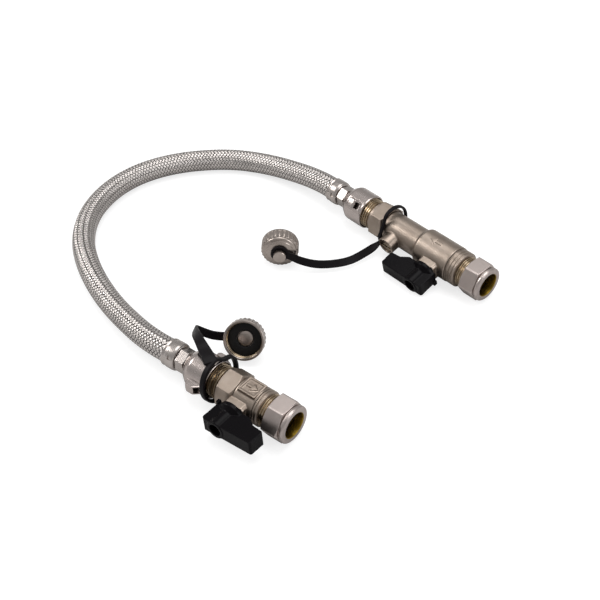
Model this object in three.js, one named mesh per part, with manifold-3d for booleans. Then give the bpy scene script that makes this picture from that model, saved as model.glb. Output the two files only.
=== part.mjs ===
// Heating-system filling loop: a braided hose between an isolating ball valve and a ball valve with
// a double check valve, both with 15 mm compression ends, and two blanking caps on rubber straps.
// Millimetres, +Z up, lying on a table at Z = 0. Along each valve, t is the distance from the outer
// face of its compression nut back along the pipe axis, and w is the distance from that axis
// outwards along the handle's stem.
import * as THREE from 'three';
import { mergeVertices } from 'three/addons/utils/BufferGeometryUtils.js';
import Module from 'manifold-3d';

// Clearances
const SEAT_GAP = 0.3; // left between two pieces that seat on each other
const RUNNING_GAP = 0.4; // radial gap where one piece turns in another

// Facets round a turned piece
const FINE = 20;
const COARSE = 12;

// Where the valves lie
const FAR_END = [80.2, 87.0, 13.4]; // centre of the far nut's outer face
const FAR_ROLL = 15; // degrees that the far valve is rolled, so that its handle rests on the table
const NEAR_END = [83.7, -79.7, 12.6]; // centre of the near nut's outer face
const NEAR_HEADING = 10; // degrees between the two valves

// Compression end for 15 mm pipe
const PIPE_BORE = 7.7;
const PIPE_MOUTH = 8.1;
const NUT_FLATS = 23;
const NUT_LENGTH = 16.6;
const NUT_COLLAR = 11.5;
const NUT_COLLAR_LENGTH = 2.6;
const NUT_CHAMFER = 1.9;
const NUT_BACK_RADIUS = 11.4;
const NEAR_NUT_TURN = 18.4; // degrees from a corner straight down
const FAR_NUT_TURN = 2;
const NUT_THROAT = 5.2; // depth of the plain bore in the nut
const CONE_LENGTH = 2.4;
const COMPRESSION_THREAD = 10.3;
const INSERT_MOUTH = 9.6;
const OLIVE_RADIUS = 9.35;
const OLIVE_EDGE_RADIUS = 8.3;
const OLIVE_LENGTH = 4.8;

// Ball, seats and stem, the same in both valves
const BALL_RADIUS = 7.2;
const BALL_BORE = 4.3;
const WATERWAY = 4.6;
const SEAT_RING_WIDTH = 2.8;
const SEAT_RING_OUTER = 8.1;
const STEM_RADIUS = 3;
const STEM_FLATS = 4.8;
const STEM_COLLAR = 4.3;
const STEM_COLLAR_LENGTH = 1.6;
const TONGUE_THICKNESS = 2.6;
const TONGUE_LENGTH = 6;
const TONGUE_DEPTH = 2;
const STEM_SEAL_OUTER = 4.3;
const STEM_SEAL_WIDTH = 2;
const BOSS_RADIUS = 8.4;
const BOSS_FLATS = 13.2;
const GLAND_START = 9.3; // where the stem's bore narrows in the boss

// Flow arrow: half widths of its shaft and head, and how far it stands out
const ARROW_SHAFT = 0.9;
const ARROW_HEAD = 2.5;
const ARROW_HEIGHT = 0.35;

// Near valve
const NEAR_STEM = 32;
const NEAR_FLANGE_START = 18.7;
const NEAR_FLANGE_END = 22;
const NEAR_FLANGE_RADIUS = 11;
const NEAR_BODY_RADIUS = 11;
const NEAR_BOSS_TOP = 13.4;
const NEAR_HEX_START = 37;
const NEAR_HEX_END = 48.3;
const NEAR_THREAD_END = 64.5;
const HEX_FLATS = 23;
const NEAR_HEX_TURN = 20;
const NEAR_ARROW = 7.5;
const MARK_FRAME = 5.8; // half width of the raised frame round the arrow
const MARK_FRAME_EDGE = 1.2;

// Far valve
const FAR_STEM = 39;
const FAR_FLANGE_START = 19.5;
const FAR_FLANGE_END = 26.5;
const FAR_BODY_RADIUS = 12.4;
const FAR_BOSS_TOP = 14.9;
const FAR_SHOULDER = 53;
const CHECK_TUBE_RADIUS = 10.2;
const FAR_BODY_END = 83.6;
const ADAPTER_HEX_START = 84;
const ADAPTER_HEX_END = 94.6;
const ADAPTER_RING_END = 97;
const ADAPTER_HEX_TURN = 10;
const FAR_THREAD_END = 112;
const ADAPTER_SPIGOT_LENGTH = 5;
const FAR_ARROW = 9;

// Test point on the far valve
const TEST_POINT = 74;
const TEST_STUB_RADIUS = 6.3;
const TEST_STUB_END = 16.4;
const TEST_PLUG_RADIUS = 4.6;
const TEST_PLUG_LENGTH = 5;
const TEST_SLOT = 1.2;
const TEST_BORE = 2.5;

// Check-valve cartridges
const CHECK_BORE = 8.4;
const CHECK_STARTS = [49.8, 86.3];
const CAGE_LENGTH = 12;
const CAGE_WALL = 1.2;
const CAGE_SEAT_LENGTH = 2.5;
const CAGE_SEAT_BORE = 4.6;
const GUIDE_LENGTH = 2.5;
const GUIDE_RADIUS = 2.4;
const GUIDE_BORE = 1.4;
const POPPET_RADIUS = 5.6;
const POPPET_THICKNESS = 1.6;
const POPPET_STEM = 1;
const SPRING_WIRE = 0.35;
const SPRING_RADIUS = 2;
const SPRING_TURNS = 3.5;

// Threads of the hose joint, G 1/2
const JOINT_THREAD = 10.48;
const THREAD_ROOT = 9.7;
const THREAD_PITCH = 1.814;

// Swivel nut, washer and hose tail
const SWIVEL_RADIUS = 12.1;
const SWIVEL_LENGTH = 20;
const SWIVEL_CYLINDER = 15.4; // the straight stretch, before the dome
const SWIVEL_BACK_RADIUS = 8;
const SWIVEL_BACK_WALL = 4.6;
const WING_REACH = 15.8;
const WING_WIDTH = 5.6;
const WING_START = 8.4;
const WING_LENGTH = 7.6;
const NEAR_SWIVEL_START = 55;
const FAR_SWIVEL_START = 102.8;
const NEAR_WING_TURN = -90; // degrees from straight up, towards the handle's side
const FAR_WING_TURN = -52;
const JOINT_WASHER = 2;
const TAIL_BORE = 3.3;
const TAIL_NECK = 6.4;
const TAIL_FLANGE = 9.7;
const TAIL_FLANGE_LENGTH = 2.4;
const TAIL_FLATS = 13.4;
const TAIL_HEX_LENGTH = 6.6;
const TAIL_BARB = 4.3;
const TAIL_BARB_LENGTH = 7;
const TAIL_HEX_GAP = 1.2;

// Hose and its ferrules
const HOSE_RADIUS = 7.6;
const BRAID_WALL = 0.6;
const LINER_RADIUS = 6.7;
const LINER_BORE = 4.7;
const FERRULE_WALL = 0.8;
const FERRULE_RADIUS = HOSE_RADIUS + SEAT_GAP + FERRULE_WALL;
const FERRULE_LENGTH = 9.3;
const FERRULE_FRONT_WALL = 1.2;
const NOTCH_WIDTH = 2.4;
const NOTCH_LENGTH = 2.6;
const NOTCH_TURN = 60; // degrees from straight up, towards the handle's side
const HOSE_SIDES = 10;
const HOSE_STEPS = 30;
// Route between the ferrules' mouths, far end first
const HOSE_ROUTE = [
  [-69, 86.9, 13.3], [-83, 85.7, 12.4], [-99.5, 82.9, 10.7], [-115, 78.9, 9.1], [-128.5, 73.3, 8],
  [-140, 65.8, 7.65], [-149.8, 56.3, 7.65], [-158.2, 45.4, 7.65], [-165.2, 34, 7.65],
  [-170.6, 21.7, 7.65], [-174.1, 8.6, 7.65], [-175.3, -5.5, 7.65], [-173.6, -20.5, 7.65],
  [-168.6, -35.7, 7.65], [-159.9, -51, 7.65], [-147.3, -64.9, 7.65], [-131, -76.6, 7.65],
  [-113, -84.8, 7.65], [-95.8, -90.2, 7.65], [-79.2, -93.8, 7.7], [-63.4, -96, 8],
  [-47.6, -97.3, 9.1], [-32, -98, 10.6], [-18.5, -97.4, 12],
];

// Lever handle, h is its height above the boss
const HANDLE_THICKNESS = 9.3;
const HANDLE_HEIGHT = 15.3;
const HANDLE_ARM = 25;
const HANDLE_HEEL = 9.2;
const HANDLE_SLOPE_START = 13; // where the underside rises from the boss to the arm
const HANDLE_SLOPE_END = 18.2;
const HANDLE_ARM_RISE = 4.4;
const HANDLE_BEVEL = 0.6;
const HANDLE_HUB = 5.7;
const HANDLE_BASE = 8.6;
const HANDLE_BASE_HEIGHT = 3;
const HANDLE_LIFT = 0.4;
const NEAR_HANDLE_LIFT = 5; // degrees that the near handle's arm stands above the pipe
const HANDLE_STOP = 1.6; // how far the stop on the handle's foot stands out
const STEM_PROUD = 6.2; // length of stem above the boss
const SCREW_WEB = 1.8;
const SCREW_HEAD = 3;
const SCREW_HEAD_LENGTH = 2;
const SCREW_SHANK = 1.4;
const SCREW_SHANK_LENGTH = 7;
const SCREW_CROSS = 0.8;

// Blanking caps
const CAP_RADIUS = 12.4;
const CAP_FACE_RADIUS = 11.3;
const CAP_DEPTH = 9.8;
const CAP_FLOOR = 2.6;
const CAP_RIM_BAND = 1.6;
const CAP_THREAD = 10.75;
const CAP_DOME = 4.8;
const CAP_DOME_HEIGHT = 1.3;
const CAP_SCALLOPS = 18;
const SCALLOP_RADIUS = 1.5;
const SCALLOP_DEPTH = 0.5;
const STUD_NECK = 3.1;
const STUD_NECK_LENGTH = 2.4;
const STUD_HEAD = 4.2;
const STUD_HEAD_LENGTH = 3;
const CAP_WASHER_THICKNESS = 1.8;
const NEAR_CAP = [11.1, -53.2, 9.7]; // centre of the closed face
const NEAR_CAP_OPENING = [0.543, -0.667, 0.52];
const FAR_CAP = [-33, 12, 12.5];
const FAR_CAP_OPENING = [-0.72, 0.69, 0];

// Straps
const STRAP_THICKNESS = 1.7;
const STRAP_WIDTH = 5.5;
const STRAP_STEPS = 26;
const STRAP_TAPER = 0.2; // share of the band's length over which it widens from the loop
const EYELET_RADIUS = 6;
const LOOP_INNER = 13.4;
const LOOP_THICKNESS = 1.6;
const LOOP_WIDTH = 2.7;
const LOOP_SEGMENTS = 30;

// Each loop's station, its centre from the valve's axis, degrees that it leans to the hose, share of
// its width, and where it is pressed in: between two angles from straight up, towards the viewer
const NEAR_LOOP = {
  station: 54, centre: [0, 2.5], lean: 7, narrowing: 1, pressed: { from: -66, to: 8, depth: 3 },
};
const FAR_LOOP = {
  station: 82, centre: [-1.2, 1.65], lean: 0, narrowing: 0.92, pressed: { from: 20, to: 120, depth: 3.4 },
};
const NEAR_STRAP_ROUTE = [
  [29.4, -93.1, 29], [25.3, -91.8, 29.8], [19.4, -89.9, 29.8], [13.7, -88.2, 30.4],
  [6.3, -85.1, 28], [-3.6, -79.5, 21], [-9.2, -75.1, 15.8], [-8.6, -71.6, 12.2],
  [-4, -66.9, 9.4], [0.2, -61.7, 8], [4.1, -58, 8], [10.4, -52.4, 9.1],
];
const NEAR_STRAP_WIDTHS = [
  [0.42, 0.9, 0], [0.42, 0.9, 0], [0.42, 0.9, 0.02], [0.4, 0.91, 0.06], [0.25, 0.85, 0.3],
  [0.05, 0.65, 0.7], [-0.05, 0.54, 0.84], [-0.1, 0.45, 0.87], [-0.2, 0.4, 0.87],
  [-0.3, 0.37, 0.86], [-0.36, 0.35, 0.85], [-0.385, 0.349, 0.85],
];
const FAR_STRAP_ROUTE = [
  [-1.8, 74.6, 6.6], [-1.6, 70, 5.8], [-1.4, 60.5, 5.4], [-2.8, 47, 5], [-8.1, 35.8, 5],
  [-14.5, 26.8, 6], [-21.4, 19.8, 8.6], [-28.2, 14.8, 11.6], [-32.2, 11.2, 12.4],
];
const FAR_STRAP_WIDTHS = [
  [-1, 0, 0.05], [-0.97, 0.1, 0.25], [-0.8, 0.2, 0.55], [-0.65, 0.35, 0.7], [-0.5, 0.45, 0.74],
  [-0.4, 0.4, 0.85], [-0.2, 0.2, 0.95], [-0.05, 0.05, 1], [0, 0, 1],
];

const steel = (color, roughness) => new THREE.MeshStandardMaterial({ color, roughness, metalness: 1 });
const polymer = (color, roughness) => new THREE.MeshStandardMaterial({ color, roughness, metalness: 0 });
const nickel = steel(0xa89c8c, 0.38);
const nutNickel = steel(0xb5a69c, 0.32);
const brass = steel(0xa98a45, 0.4);
const polishedSteel = steel(0xc4bdb8, 0.2);
const braidSteel = steel(0xb4b2b2, 0.35);
const capNickel = steel(0xb3a8a2, 0.35);
const handleBlack = polymer(0x0b0b0c, 0.4);
const strapBlack = polymer(0x17161a, 0.6);
const ptfe = polymer(0xe9e7e0, 0.5);
const sealRubber = polymer(0x141414, 0.7);
const linerRubber = polymer(0x202022, 0.7);
const cageWhite = polymer(0xd8d5cc, 0.5);
const springSteel = steel(0x9fa0a2, 0.3);

const wasm = await Module();
wasm.setup();

const radians = (degrees) => THREE.MathUtils.degToRad(degrees);

// A closed geometry as a solid, with its faces turned outwards.
function solid(geometry) {
  const bare = new THREE.BufferGeometry();
  bare.setAttribute('position', geometry.getAttribute('position'));
  bare.setIndex(geometry.index);
  const merged = mergeVertices(bare, 1e-4);
  const position = merged.getAttribute('position');
  const corner = (i) => new THREE.Vector3().fromBufferAttribute(position, i);
  const triangles = [];
  let volume = 0;
  for (let i = 0; i < merged.index.count; i += 3) {
    const [a, b, c] = [0, 1, 2].map((k) => merged.index.getX(i + k));
    if (a === b || b === c || c === a) continue;
    triangles.push(a, b, c);
    volume += corner(a).dot(corner(b).cross(corner(c)));
  }
  if (volume < 0) triangles.reverse();
  return new wasm.Manifold(new wasm.Mesh({
    numProp: 3,
    vertProperties: Float32Array.from(position.array),
    triVerts: Uint32Array.from(triangles),
  }));
}

function toMesh(name, shape, material) {
  const { vertProperties, triVerts } = shape.getMesh();
  const geometry = new THREE.BufferGeometry();
  geometry.setAttribute('position', new THREE.BufferAttribute(vertProperties, 3));
  geometry.setIndex(Array.from(triVerts));
  const mesh = new THREE.Mesh(geometry, material);
  mesh.name = name;
  return mesh;
}

// A shape turned about the pipe axis from a closed outline of [t, radius] points.
function turned(outline, segments = FINE) {
  const points = outline.map(([t, radius]) => new THREE.Vector2(radius, -t));
  const closesOnAxis = outline[0][1] === 0 && outline.at(-1)[1] === 0;
  if (!closesOnAxis) points.push(points[0].clone());
  return new THREE.LatheGeometry(points, segments).rotateZ(-Math.PI / 2);
}

// The same about the stem, whose outline holds [w, radius] points.
const turnedOnStem = (outline, segments) => turned(outline, segments).rotateZ(Math.PI / 2);

// A tube or a rod between two distances along the pipe axis.
const tube = (from, to, outer, inner, segments) =>
  turned([[from, inner], [from, outer], [to, outer], [to, inner]], segments);
const rod = (from, to, radius, segments) =>
  turned([[from, 0], [from, radius], [to, radius], [to, 0]], segments);

function block(x, y, z) {
  const geometry = new THREE.BoxGeometry(x[1] - x[0], y[1] - y[0], z[1] - z[0]);
  return geometry.translate((x[0] + x[1]) / 2, (y[0] + y[1]) / 2, (z[0] + z[1]) / 2);
}

// A hexagonal bar along the pipe axis; turn is the angle of a corner from straight down.
function hexBar(from, to, flats, turn) {
  const radius = flats / Math.sqrt(3);
  const geometry = new THREE.CylinderGeometry(radius, radius, to - from, 6);
  return geometry.rotateZ(-Math.PI / 2).translate(-(from + to) / 2, 0, 0).rotateX(radians(turn));
}

// A chamfered hexagon: the corners are cut back at both ends.
function chamferedHex(from, to, flats, turn, chamfer) {
  const corner = flats / Math.sqrt(3);
  const end = flats / 2;
  const outline = [
    [from, 0], [from, end], [from + chamfer, corner], [to - chamfer, corner], [to, end], [to, 0],
  ];
  return solid(turned(outline)).intersect(solid(hexBar(from, to, flats, turn)));
}

// Ring grooves of a parallel thread, as [t, radius] points from one end to the other.
function threadOutline(from, to) {
  const turns = Math.max(1, Math.floor((to - from) / THREAD_PITCH));
  const pitch = (to - from) / turns;
  const points = [];
  for (let i = 0; i < turns; i += 1) {
    const start = from + i * pitch;
    points.push([start, THREAD_ROOT], [start + pitch / 2, JOINT_THREAD]);
  }
  return points;
}

// Nut of a compression end, with its cone for the olive.
function compressionNut(turn) {
  const collarEnd = NUT_COLLAR_LENGTH;
  const corner = NUT_FLATS / Math.sqrt(3);
  const hex = solid(turned([
    [0.4, 0], [0.4, NUT_COLLAR - 0.6], [collarEnd, NUT_COLLAR - 0.3], [collarEnd + NUT_CHAMFER, corner],
    [NUT_LENGTH - NUT_CHAMFER, corner], [NUT_LENGTH, NUT_BACK_RADIUS], [NUT_LENGTH, 0],
  ])).intersect(solid(hexBar(0.4, NUT_LENGTH, NUT_FLATS, turn)));
  const collar = solid(turned([
    [0, 0], [0, NUT_COLLAR - 0.5], [0.5, NUT_COLLAR], [collarEnd, NUT_COLLAR], [collarEnd + 0.4, 0],
  ]));
  const threadBore = COMPRESSION_THREAD + SEAT_GAP;
  const bore = solid(turned([
    [-1, 0], [-1, PIPE_MOUTH], [0, PIPE_MOUTH], [0.6, PIPE_BORE], [NUT_THROAT, PIPE_BORE],
    [NUT_THROAT + CONE_LENGTH, threadBore], [NUT_LENGTH + 1, threadBore], [NUT_LENGTH + 1, 0],
  ]));
  return hex.add(collar).subtract(bore);
}

function olive() {
  const start = NUT_THROAT + 0.9;
  const middle = start + OLIVE_LENGTH / 2;
  const end = start + OLIVE_LENGTH;
  return solid(turned([
    [start, PIPE_BORE], [start, OLIVE_EDGE_RADIUS], [middle - 0.6, OLIVE_RADIUS],
    [middle + 0.6, OLIVE_RADIUS], [end, OLIVE_EDGE_RADIUS], [end, PIPE_BORE],
  ]));
}

// Threaded socket for the pipe that screws into the valve body, and holds the first ball seat.
function compressionInsert(flange, stem) {
  const spigotEnd = stem - BALL_RADIUS - SEAT_GAP * 2;
  return solid(turned([
    [INSERT_MOUTH, OLIVE_RADIUS + 0.4], [INSERT_MOUTH + 0.2, COMPRESSION_THREAD],
    [flange.start - 0.6, COMPRESSION_THREAD], [flange.start, flange.radius - 0.6],
    [flange.start + 0.8, flange.radius], [flange.start + 1.6, flange.radius],
    [flange.start + 1.9, flange.radius - 0.35], [flange.start + 2.2, flange.radius],
    [flange.end, flange.radius],
    [flange.end, SEAT_RING_OUTER], [spigotEnd, SEAT_RING_OUTER], [spigotEnd, WATERWAY],
    [flange.end - 1.8, WATERWAY], [flange.end - 1.8, PIPE_BORE],
    [INSERT_MOUTH + CONE_LENGTH, PIPE_BORE],
  ]));
}

// Outline of the space for ball and seats that is bored into a body from its compression end.
function ballChamber(flangeEnd, stem) {
  const radius = SEAT_RING_OUTER + SEAT_GAP;
  const depth = stem + BALL_RADIUS + SEAT_GAP * 2;
  return solid(turned([
    [flangeEnd - 1, 0], [flangeEnd - 1, radius], [depth, radius], [depth, 0],
  ]));
}

// Square boss with rounded corners that carries the stem.
function stemBoss(stem, top) {
  const round = turnedOnStem([[0, 0], [0, BOSS_RADIUS], [top - 0.5, BOSS_RADIUS],
    [top, BOSS_RADIUS - 0.5], [top, 0]]);
  const half = BOSS_FLATS / 2;
  const square = block([-half, half], [-top - 1, 1], [-half, half]);
  return solid(round.translate(-stem, 0, 0)).intersect(solid(square.translate(-stem, 0, 0)));
}

// Stepped bore through the boss, with a groove for the stem's seal.
function glandBore(stem, top) {
  const bore = STEM_RADIUS + SEAT_GAP;
  const sealStart = GLAND_START + 1.5;
  const sealEnd = sealStart + STEM_SEAL_WIDTH + SEAT_GAP;
  const collarBore = STEM_COLLAR + SEAT_GAP;
  return solid(turnedOnStem([
    [0, 0], [0, collarBore], [GLAND_START, collarBore], [GLAND_START, bore], [sealStart, bore],
    [sealStart, STEM_SEAL_OUTER], [sealEnd, STEM_SEAL_OUTER], [sealEnd, bore], [top + 1, bore],
    [top + 1, 0],
  ], COARSE).translate(-stem, 0, 0));
}

function stemSeal() {
  const start = GLAND_START + 1.5 + SEAT_GAP / 2;
  const end = start + STEM_SEAL_WIDTH;
  const outer = STEM_SEAL_OUTER - SEAT_GAP;
  const inner = STEM_RADIUS + SEAT_GAP;
  return solid(turnedOnStem([
    [start, inner], [start, outer - 0.3], [start + 0.3, outer], [end - 0.3, outer],
    [end, outer - 0.3], [end, inner],
  ], COARSE));
}

function ball() {
  const sphere = solid(new THREE.SphereGeometry(BALL_RADIUS, FINE, COARSE));
  const slotHalf = TONGUE_THICKNESS / 2 + SEAT_GAP;
  const slotFloor = BALL_RADIUS - TONGUE_DEPTH;
  const slot = block([-BALL_RADIUS, BALL_RADIUS], [-BALL_RADIUS - 1, -slotFloor], [-slotHalf, slotHalf]);
  const bore = rod(-BALL_RADIUS - 1, BALL_RADIUS + 1, BALL_BORE, COARSE);
  return sphere.subtract(solid(bore)).subtract(solid(slot));
}

// Seat ring on one side of the ball: side is -1 towards the pipe and 1 towards the hose.
function ballSeat(side) {
  const back = BALL_RADIUS + SEAT_GAP;
  const ring = tube(back * side, (back - SEAT_RING_WIDTH) * side, SEAT_RING_OUTER, WATERWAY);
  return solid(ring).subtract(solid(new THREE.SphereGeometry(back, FINE, COARSE)));
}

function valveStem(top) {
  const end = top + STEM_PROUD;
  const collarEnd = GLAND_START - SEAT_GAP;
  const collarStart = collarEnd - STEM_COLLAR_LENGTH;
  const screwBore = SCREW_SHANK + SEAT_GAP;
  const shaft = solid(turnedOnStem([
    [collarStart, 0], [collarStart, STEM_COLLAR], [collarEnd, STEM_COLLAR], [collarEnd, STEM_RADIUS],
    [end, STEM_RADIUS], [end, screwBore], [end - SCREW_SHANK_LENGTH, screwBore],
    [end - SCREW_SHANK_LENGTH, 0],
  ], COARSE));
  const tongueStart = BALL_RADIUS - TONGUE_DEPTH + SEAT_GAP;
  const thin = TONGUE_THICKNESS / 2;
  const tongue = solid(block([-TONGUE_LENGTH / 2, TONGUE_LENGTH / 2], [-collarStart - 0.5, -tongueStart],
    [-thin, thin]));
  const side = STEM_RADIUS + 1;
  const flat = (z) => solid(block([-side, side], [-end - 1, -top - 1], z));
  const half = STEM_FLATS / 2;
  return shaft.add(tongue).subtract(flat([half, side])).subtract(flat([-side, -half]));
}

// Raised arrow that shows the direction of flow, lying on top of a round body. Its turn is 0 where it
// points to the pipe and 180 where it points to the hose.
function flowArrow(centre, length, radius, turn) {
  const tip = length / 2;
  const shape = new THREE.Shape([
    [-tip, -ARROW_SHAFT], [0, -ARROW_SHAFT], [0, -ARROW_HEAD], [tip, 0], [0, ARROW_HEAD],
    [0, ARROW_SHAFT], [-tip, ARROW_SHAFT],
  ].map(([x, y]) => new THREE.Vector2(x, y)));
  const plate = new THREE.ExtrudeGeometry(shape, { depth: 2, bevelEnabled: false, steps: 1 });
  plate.rotateZ(radians(turn)).translate(-centre, 0, radius - 1.6);
  const skin = rod(centre - tip - 1, centre + tip + 1, radius + ARROW_HEIGHT);
  return solid(plate).intersect(solid(skin));
}

// Ball-valve body with its stem boss, spanner hexagon and male thread for the hose joint.
function nearBody() {
  const start = NEAR_FLANGE_END + SEAT_GAP;
  const neck = NEAR_HEX_START - 1;
  const shell = solid(turned([
    [start, 0], [start, NEAR_BODY_RADIUS - 0.5], [start + 0.5, NEAR_BODY_RADIUS],
    [neck, NEAR_BODY_RADIUS], [neck + 0.4, NEAR_BODY_RADIUS - 0.6],
    [NEAR_HEX_END - 1, NEAR_BODY_RADIUS - 0.6],
    ...threadOutline(NEAR_HEX_END + 0.3, NEAR_SWIVEL_START), [NEAR_SWIVEL_START, JOINT_THREAD],
    [NEAR_THREAD_END - 0.6, JOINT_THREAD], [NEAR_THREAD_END, THREAD_ROOT], [NEAR_THREAD_END, 0],
  ]));
  const hex = chamferedHex(NEAR_HEX_START, NEAR_HEX_END, HEX_FLATS, NEAR_HEX_TURN, 1.2);
  const frame = [start + 1, neck - 0.6];
  const inside = MARK_FRAME - MARK_FRAME_EDGE;
  const pad = block([-frame[1], -frame[0]], [-MARK_FRAME, MARK_FRAME], [0, NEAR_BODY_RADIUS + 0.4]);
  const tray = block([-frame[1] + MARK_FRAME_EDGE, -frame[0] - MARK_FRAME_EDGE], [-inside, inside],
    [NEAR_BODY_RADIUS - 0.4, NEAR_BODY_RADIUS + 2]);
  const arrow = flowArrow((frame[0] + frame[1]) / 2, NEAR_ARROW, NEAR_BODY_RADIUS, 0);
  const waterway = rod(NEAR_STEM, NEAR_THREAD_END + 1, WATERWAY + 0.6);
  return shell.add(solid(pad)).subtract(solid(tray)).add(arrow).add(hex)
    .add(stemBoss(NEAR_STEM, NEAR_BOSS_TOP)).subtract(ballChamber(NEAR_FLANGE_END, NEAR_STEM))
    .subtract(glandBore(NEAR_STEM, NEAR_BOSS_TOP)).subtract(solid(waterway));
}

// Body of the far valve: ball chamber, stem boss, tube for the check valve and test stub.
function farBody() {
  const start = FAR_FLANGE_END + SEAT_GAP;
  const shell = solid(turned([
    [start, 0], [start, FAR_BODY_RADIUS - 0.5], [start + 0.5, FAR_BODY_RADIUS],
    [FAR_SHOULDER, FAR_BODY_RADIUS], [FAR_SHOULDER + 0.8, FAR_BODY_RADIUS - 0.4],
    [FAR_SHOULDER + 2.2, CHECK_TUBE_RADIUS], [FAR_BODY_END, CHECK_TUBE_RADIUS], [FAR_BODY_END, 0],
  ]));
  const stub = turnedOnStem([[0, 0], [0, TEST_STUB_RADIUS], [TEST_STUB_END - 0.5, TEST_STUB_RADIUS],
    [TEST_STUB_END, TEST_STUB_RADIUS - 0.5], [TEST_STUB_END, 0]]).translate(-TEST_POINT, 0, 0);
  const plugSeat = TEST_STUB_END - TEST_PLUG_LENGTH - SEAT_GAP;
  const plugBore = TEST_PLUG_RADIUS + SEAT_GAP;
  const stubBore = turnedOnStem([[0, 0], [0, TEST_BORE], [plugSeat, TEST_BORE],
    [plugSeat, plugBore], [TEST_STUB_END + 1, plugBore], [TEST_STUB_END + 1, 0]], COARSE)
    .translate(-TEST_POINT, 0, 0);
  const cageSeat = CHECK_STARTS[0] - SEAT_GAP;
  const waterway = turned([[FAR_STEM, 0], [FAR_STEM, WATERWAY + 0.6], [cageSeat, WATERWAY + 0.6],
    [cageSeat, CHECK_BORE], [FAR_BODY_END + 1, CHECK_BORE], [FAR_BODY_END + 1, 0]]);
  return shell.add(stemBoss(FAR_STEM, FAR_BOSS_TOP)).add(solid(stub))
    .add(flowArrow(FAR_STEM + 3, FAR_ARROW, FAR_BODY_RADIUS, 180))
    .subtract(ballChamber(FAR_FLANGE_END, FAR_STEM)).subtract(glandBore(FAR_STEM, FAR_BOSS_TOP))
    .subtract(solid(waterway)).subtract(solid(stubBore));
}

// Hexagon piece that screws into the far body, holds the second check valve and takes the hose.
function farAdapter() {
  const spigotStart = ADAPTER_HEX_START - ADAPTER_SPIGOT_LENGTH;
  const spigot = CHECK_BORE - SEAT_GAP;
  const cageSeat = CHECK_STARTS[1] - SEAT_GAP;
  const shell = solid(turned([
    [spigotStart, 0], [spigotStart, spigot], [ADAPTER_HEX_START, spigot],
    [ADAPTER_HEX_START, CHECK_TUBE_RADIUS], [ADAPTER_RING_END, CHECK_TUBE_RADIUS],
    ...threadOutline(ADAPTER_RING_END + 0.3, FAR_SWIVEL_START), [FAR_SWIVEL_START, JOINT_THREAD],
    [FAR_THREAD_END - 0.6, JOINT_THREAD], [FAR_THREAD_END, THREAD_ROOT],
    [FAR_THREAD_END, 0],
  ]));
  const hex = chamferedHex(ADAPTER_HEX_START, ADAPTER_HEX_END, HEX_FLATS, ADAPTER_HEX_TURN, 1.2);
  const bore = turned([[spigotStart - 1, 0], [spigotStart - 1, CAGE_SEAT_BORE + 1],
    [cageSeat, CAGE_SEAT_BORE + 1], [cageSeat, CHECK_BORE], [FAR_THREAD_END + 1, CHECK_BORE],
    [FAR_THREAD_END + 1, 0]]);
  return shell.add(hex).subtract(solid(bore));
}

// Slotted plug of the test point.
function testPlug() {
  const start = TEST_STUB_END - TEST_PLUG_LENGTH;
  const end = TEST_STUB_END - 0.6;
  const body = solid(turnedOnStem([[start, 0], [start, TEST_PLUG_RADIUS - 0.5],
    [start + 0.5, TEST_PLUG_RADIUS], [end - 0.4, TEST_PLUG_RADIUS], [end, TEST_PLUG_RADIUS - 0.4],
    [end, 0]]));
  const half = TEST_SLOT / 2;
  const reach = TEST_PLUG_RADIUS + 1;
  const slot = block([-reach, reach], [-end - 1, -end + 1.2], [-half, half]);
  return body.subtract(solid(slot));
}

// Cage of a check valve: a seat ring, a side wall and a guide on three arms.
function checkCage(start) {
  const outer = CHECK_BORE - SEAT_GAP;
  const inner = outer - CAGE_WALL;
  const end = start + CAGE_LENGTH;
  const guideStart = end - GUIDE_LENGTH;
  const wall = solid(turned([[start, CAGE_SEAT_BORE], [start, outer], [end, outer], [end, inner],
    [start + CAGE_SEAT_LENGTH, inner], [start + CAGE_SEAT_LENGTH, CAGE_SEAT_BORE]], COARSE));
  const guide = solid(tube(guideStart, end, GUIDE_RADIUS, GUIDE_BORE, COARSE));
  const arms = [0, 120, 240].map((turn) => solid(
    block([-end, -guideStart], [-0.6, 0.6], [GUIDE_RADIUS - 0.3, inner + 0.3]).rotateX(radians(turn)),
  ));
  return arms.reduce((whole, arm) => whole.add(arm), wall.add(guide));
}

function checkPoppet(start) {
  const face = start + CAGE_SEAT_LENGTH + SEAT_GAP;
  const back = face + POPPET_THICKNESS;
  const tip = start + CAGE_LENGTH + 0.8;
  return solid(turned([
    [face - 1.4, 0], [face - 1.4, 2.4], [face, CAGE_SEAT_BORE - 0.6], [face, POPPET_RADIUS],
    [back - 0.5, POPPET_RADIUS], [back, POPPET_RADIUS - 0.5], [back, POPPET_STEM], [tip, POPPET_STEM],
    [tip, 0],
  ], COARSE));
}

// Coil spring between the poppet and its guide.
function checkSpring(start) {
  const low = start + CAGE_SEAT_LENGTH + SEAT_GAP * 2 + POPPET_THICKNESS + SPRING_WIRE;
  const high = start + CAGE_LENGTH - GUIDE_LENGTH - SEAT_GAP - SPRING_WIRE;
  class Helix extends THREE.Curve {
    getPoint(u) {
      const angle = u * SPRING_TURNS * 2 * Math.PI;
      return new THREE.Vector3(-THREE.MathUtils.lerp(low, high, u),
        SPRING_RADIUS * Math.cos(angle), SPRING_RADIUS * Math.sin(angle));
    }
  }
  return solid(sweep(new Helix(), [polygon(SPRING_WIRE, 4)], 28));
}

function polygon(radius, sides) {
  const corner = (i) => {
    const angle = (i / sides) * 2 * Math.PI;
    return new THREE.Vector2(radius * Math.cos(angle), radius * Math.sin(angle));
  };
  return Array.from({ length: sides }, (_, i) => corner(i));
}

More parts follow.
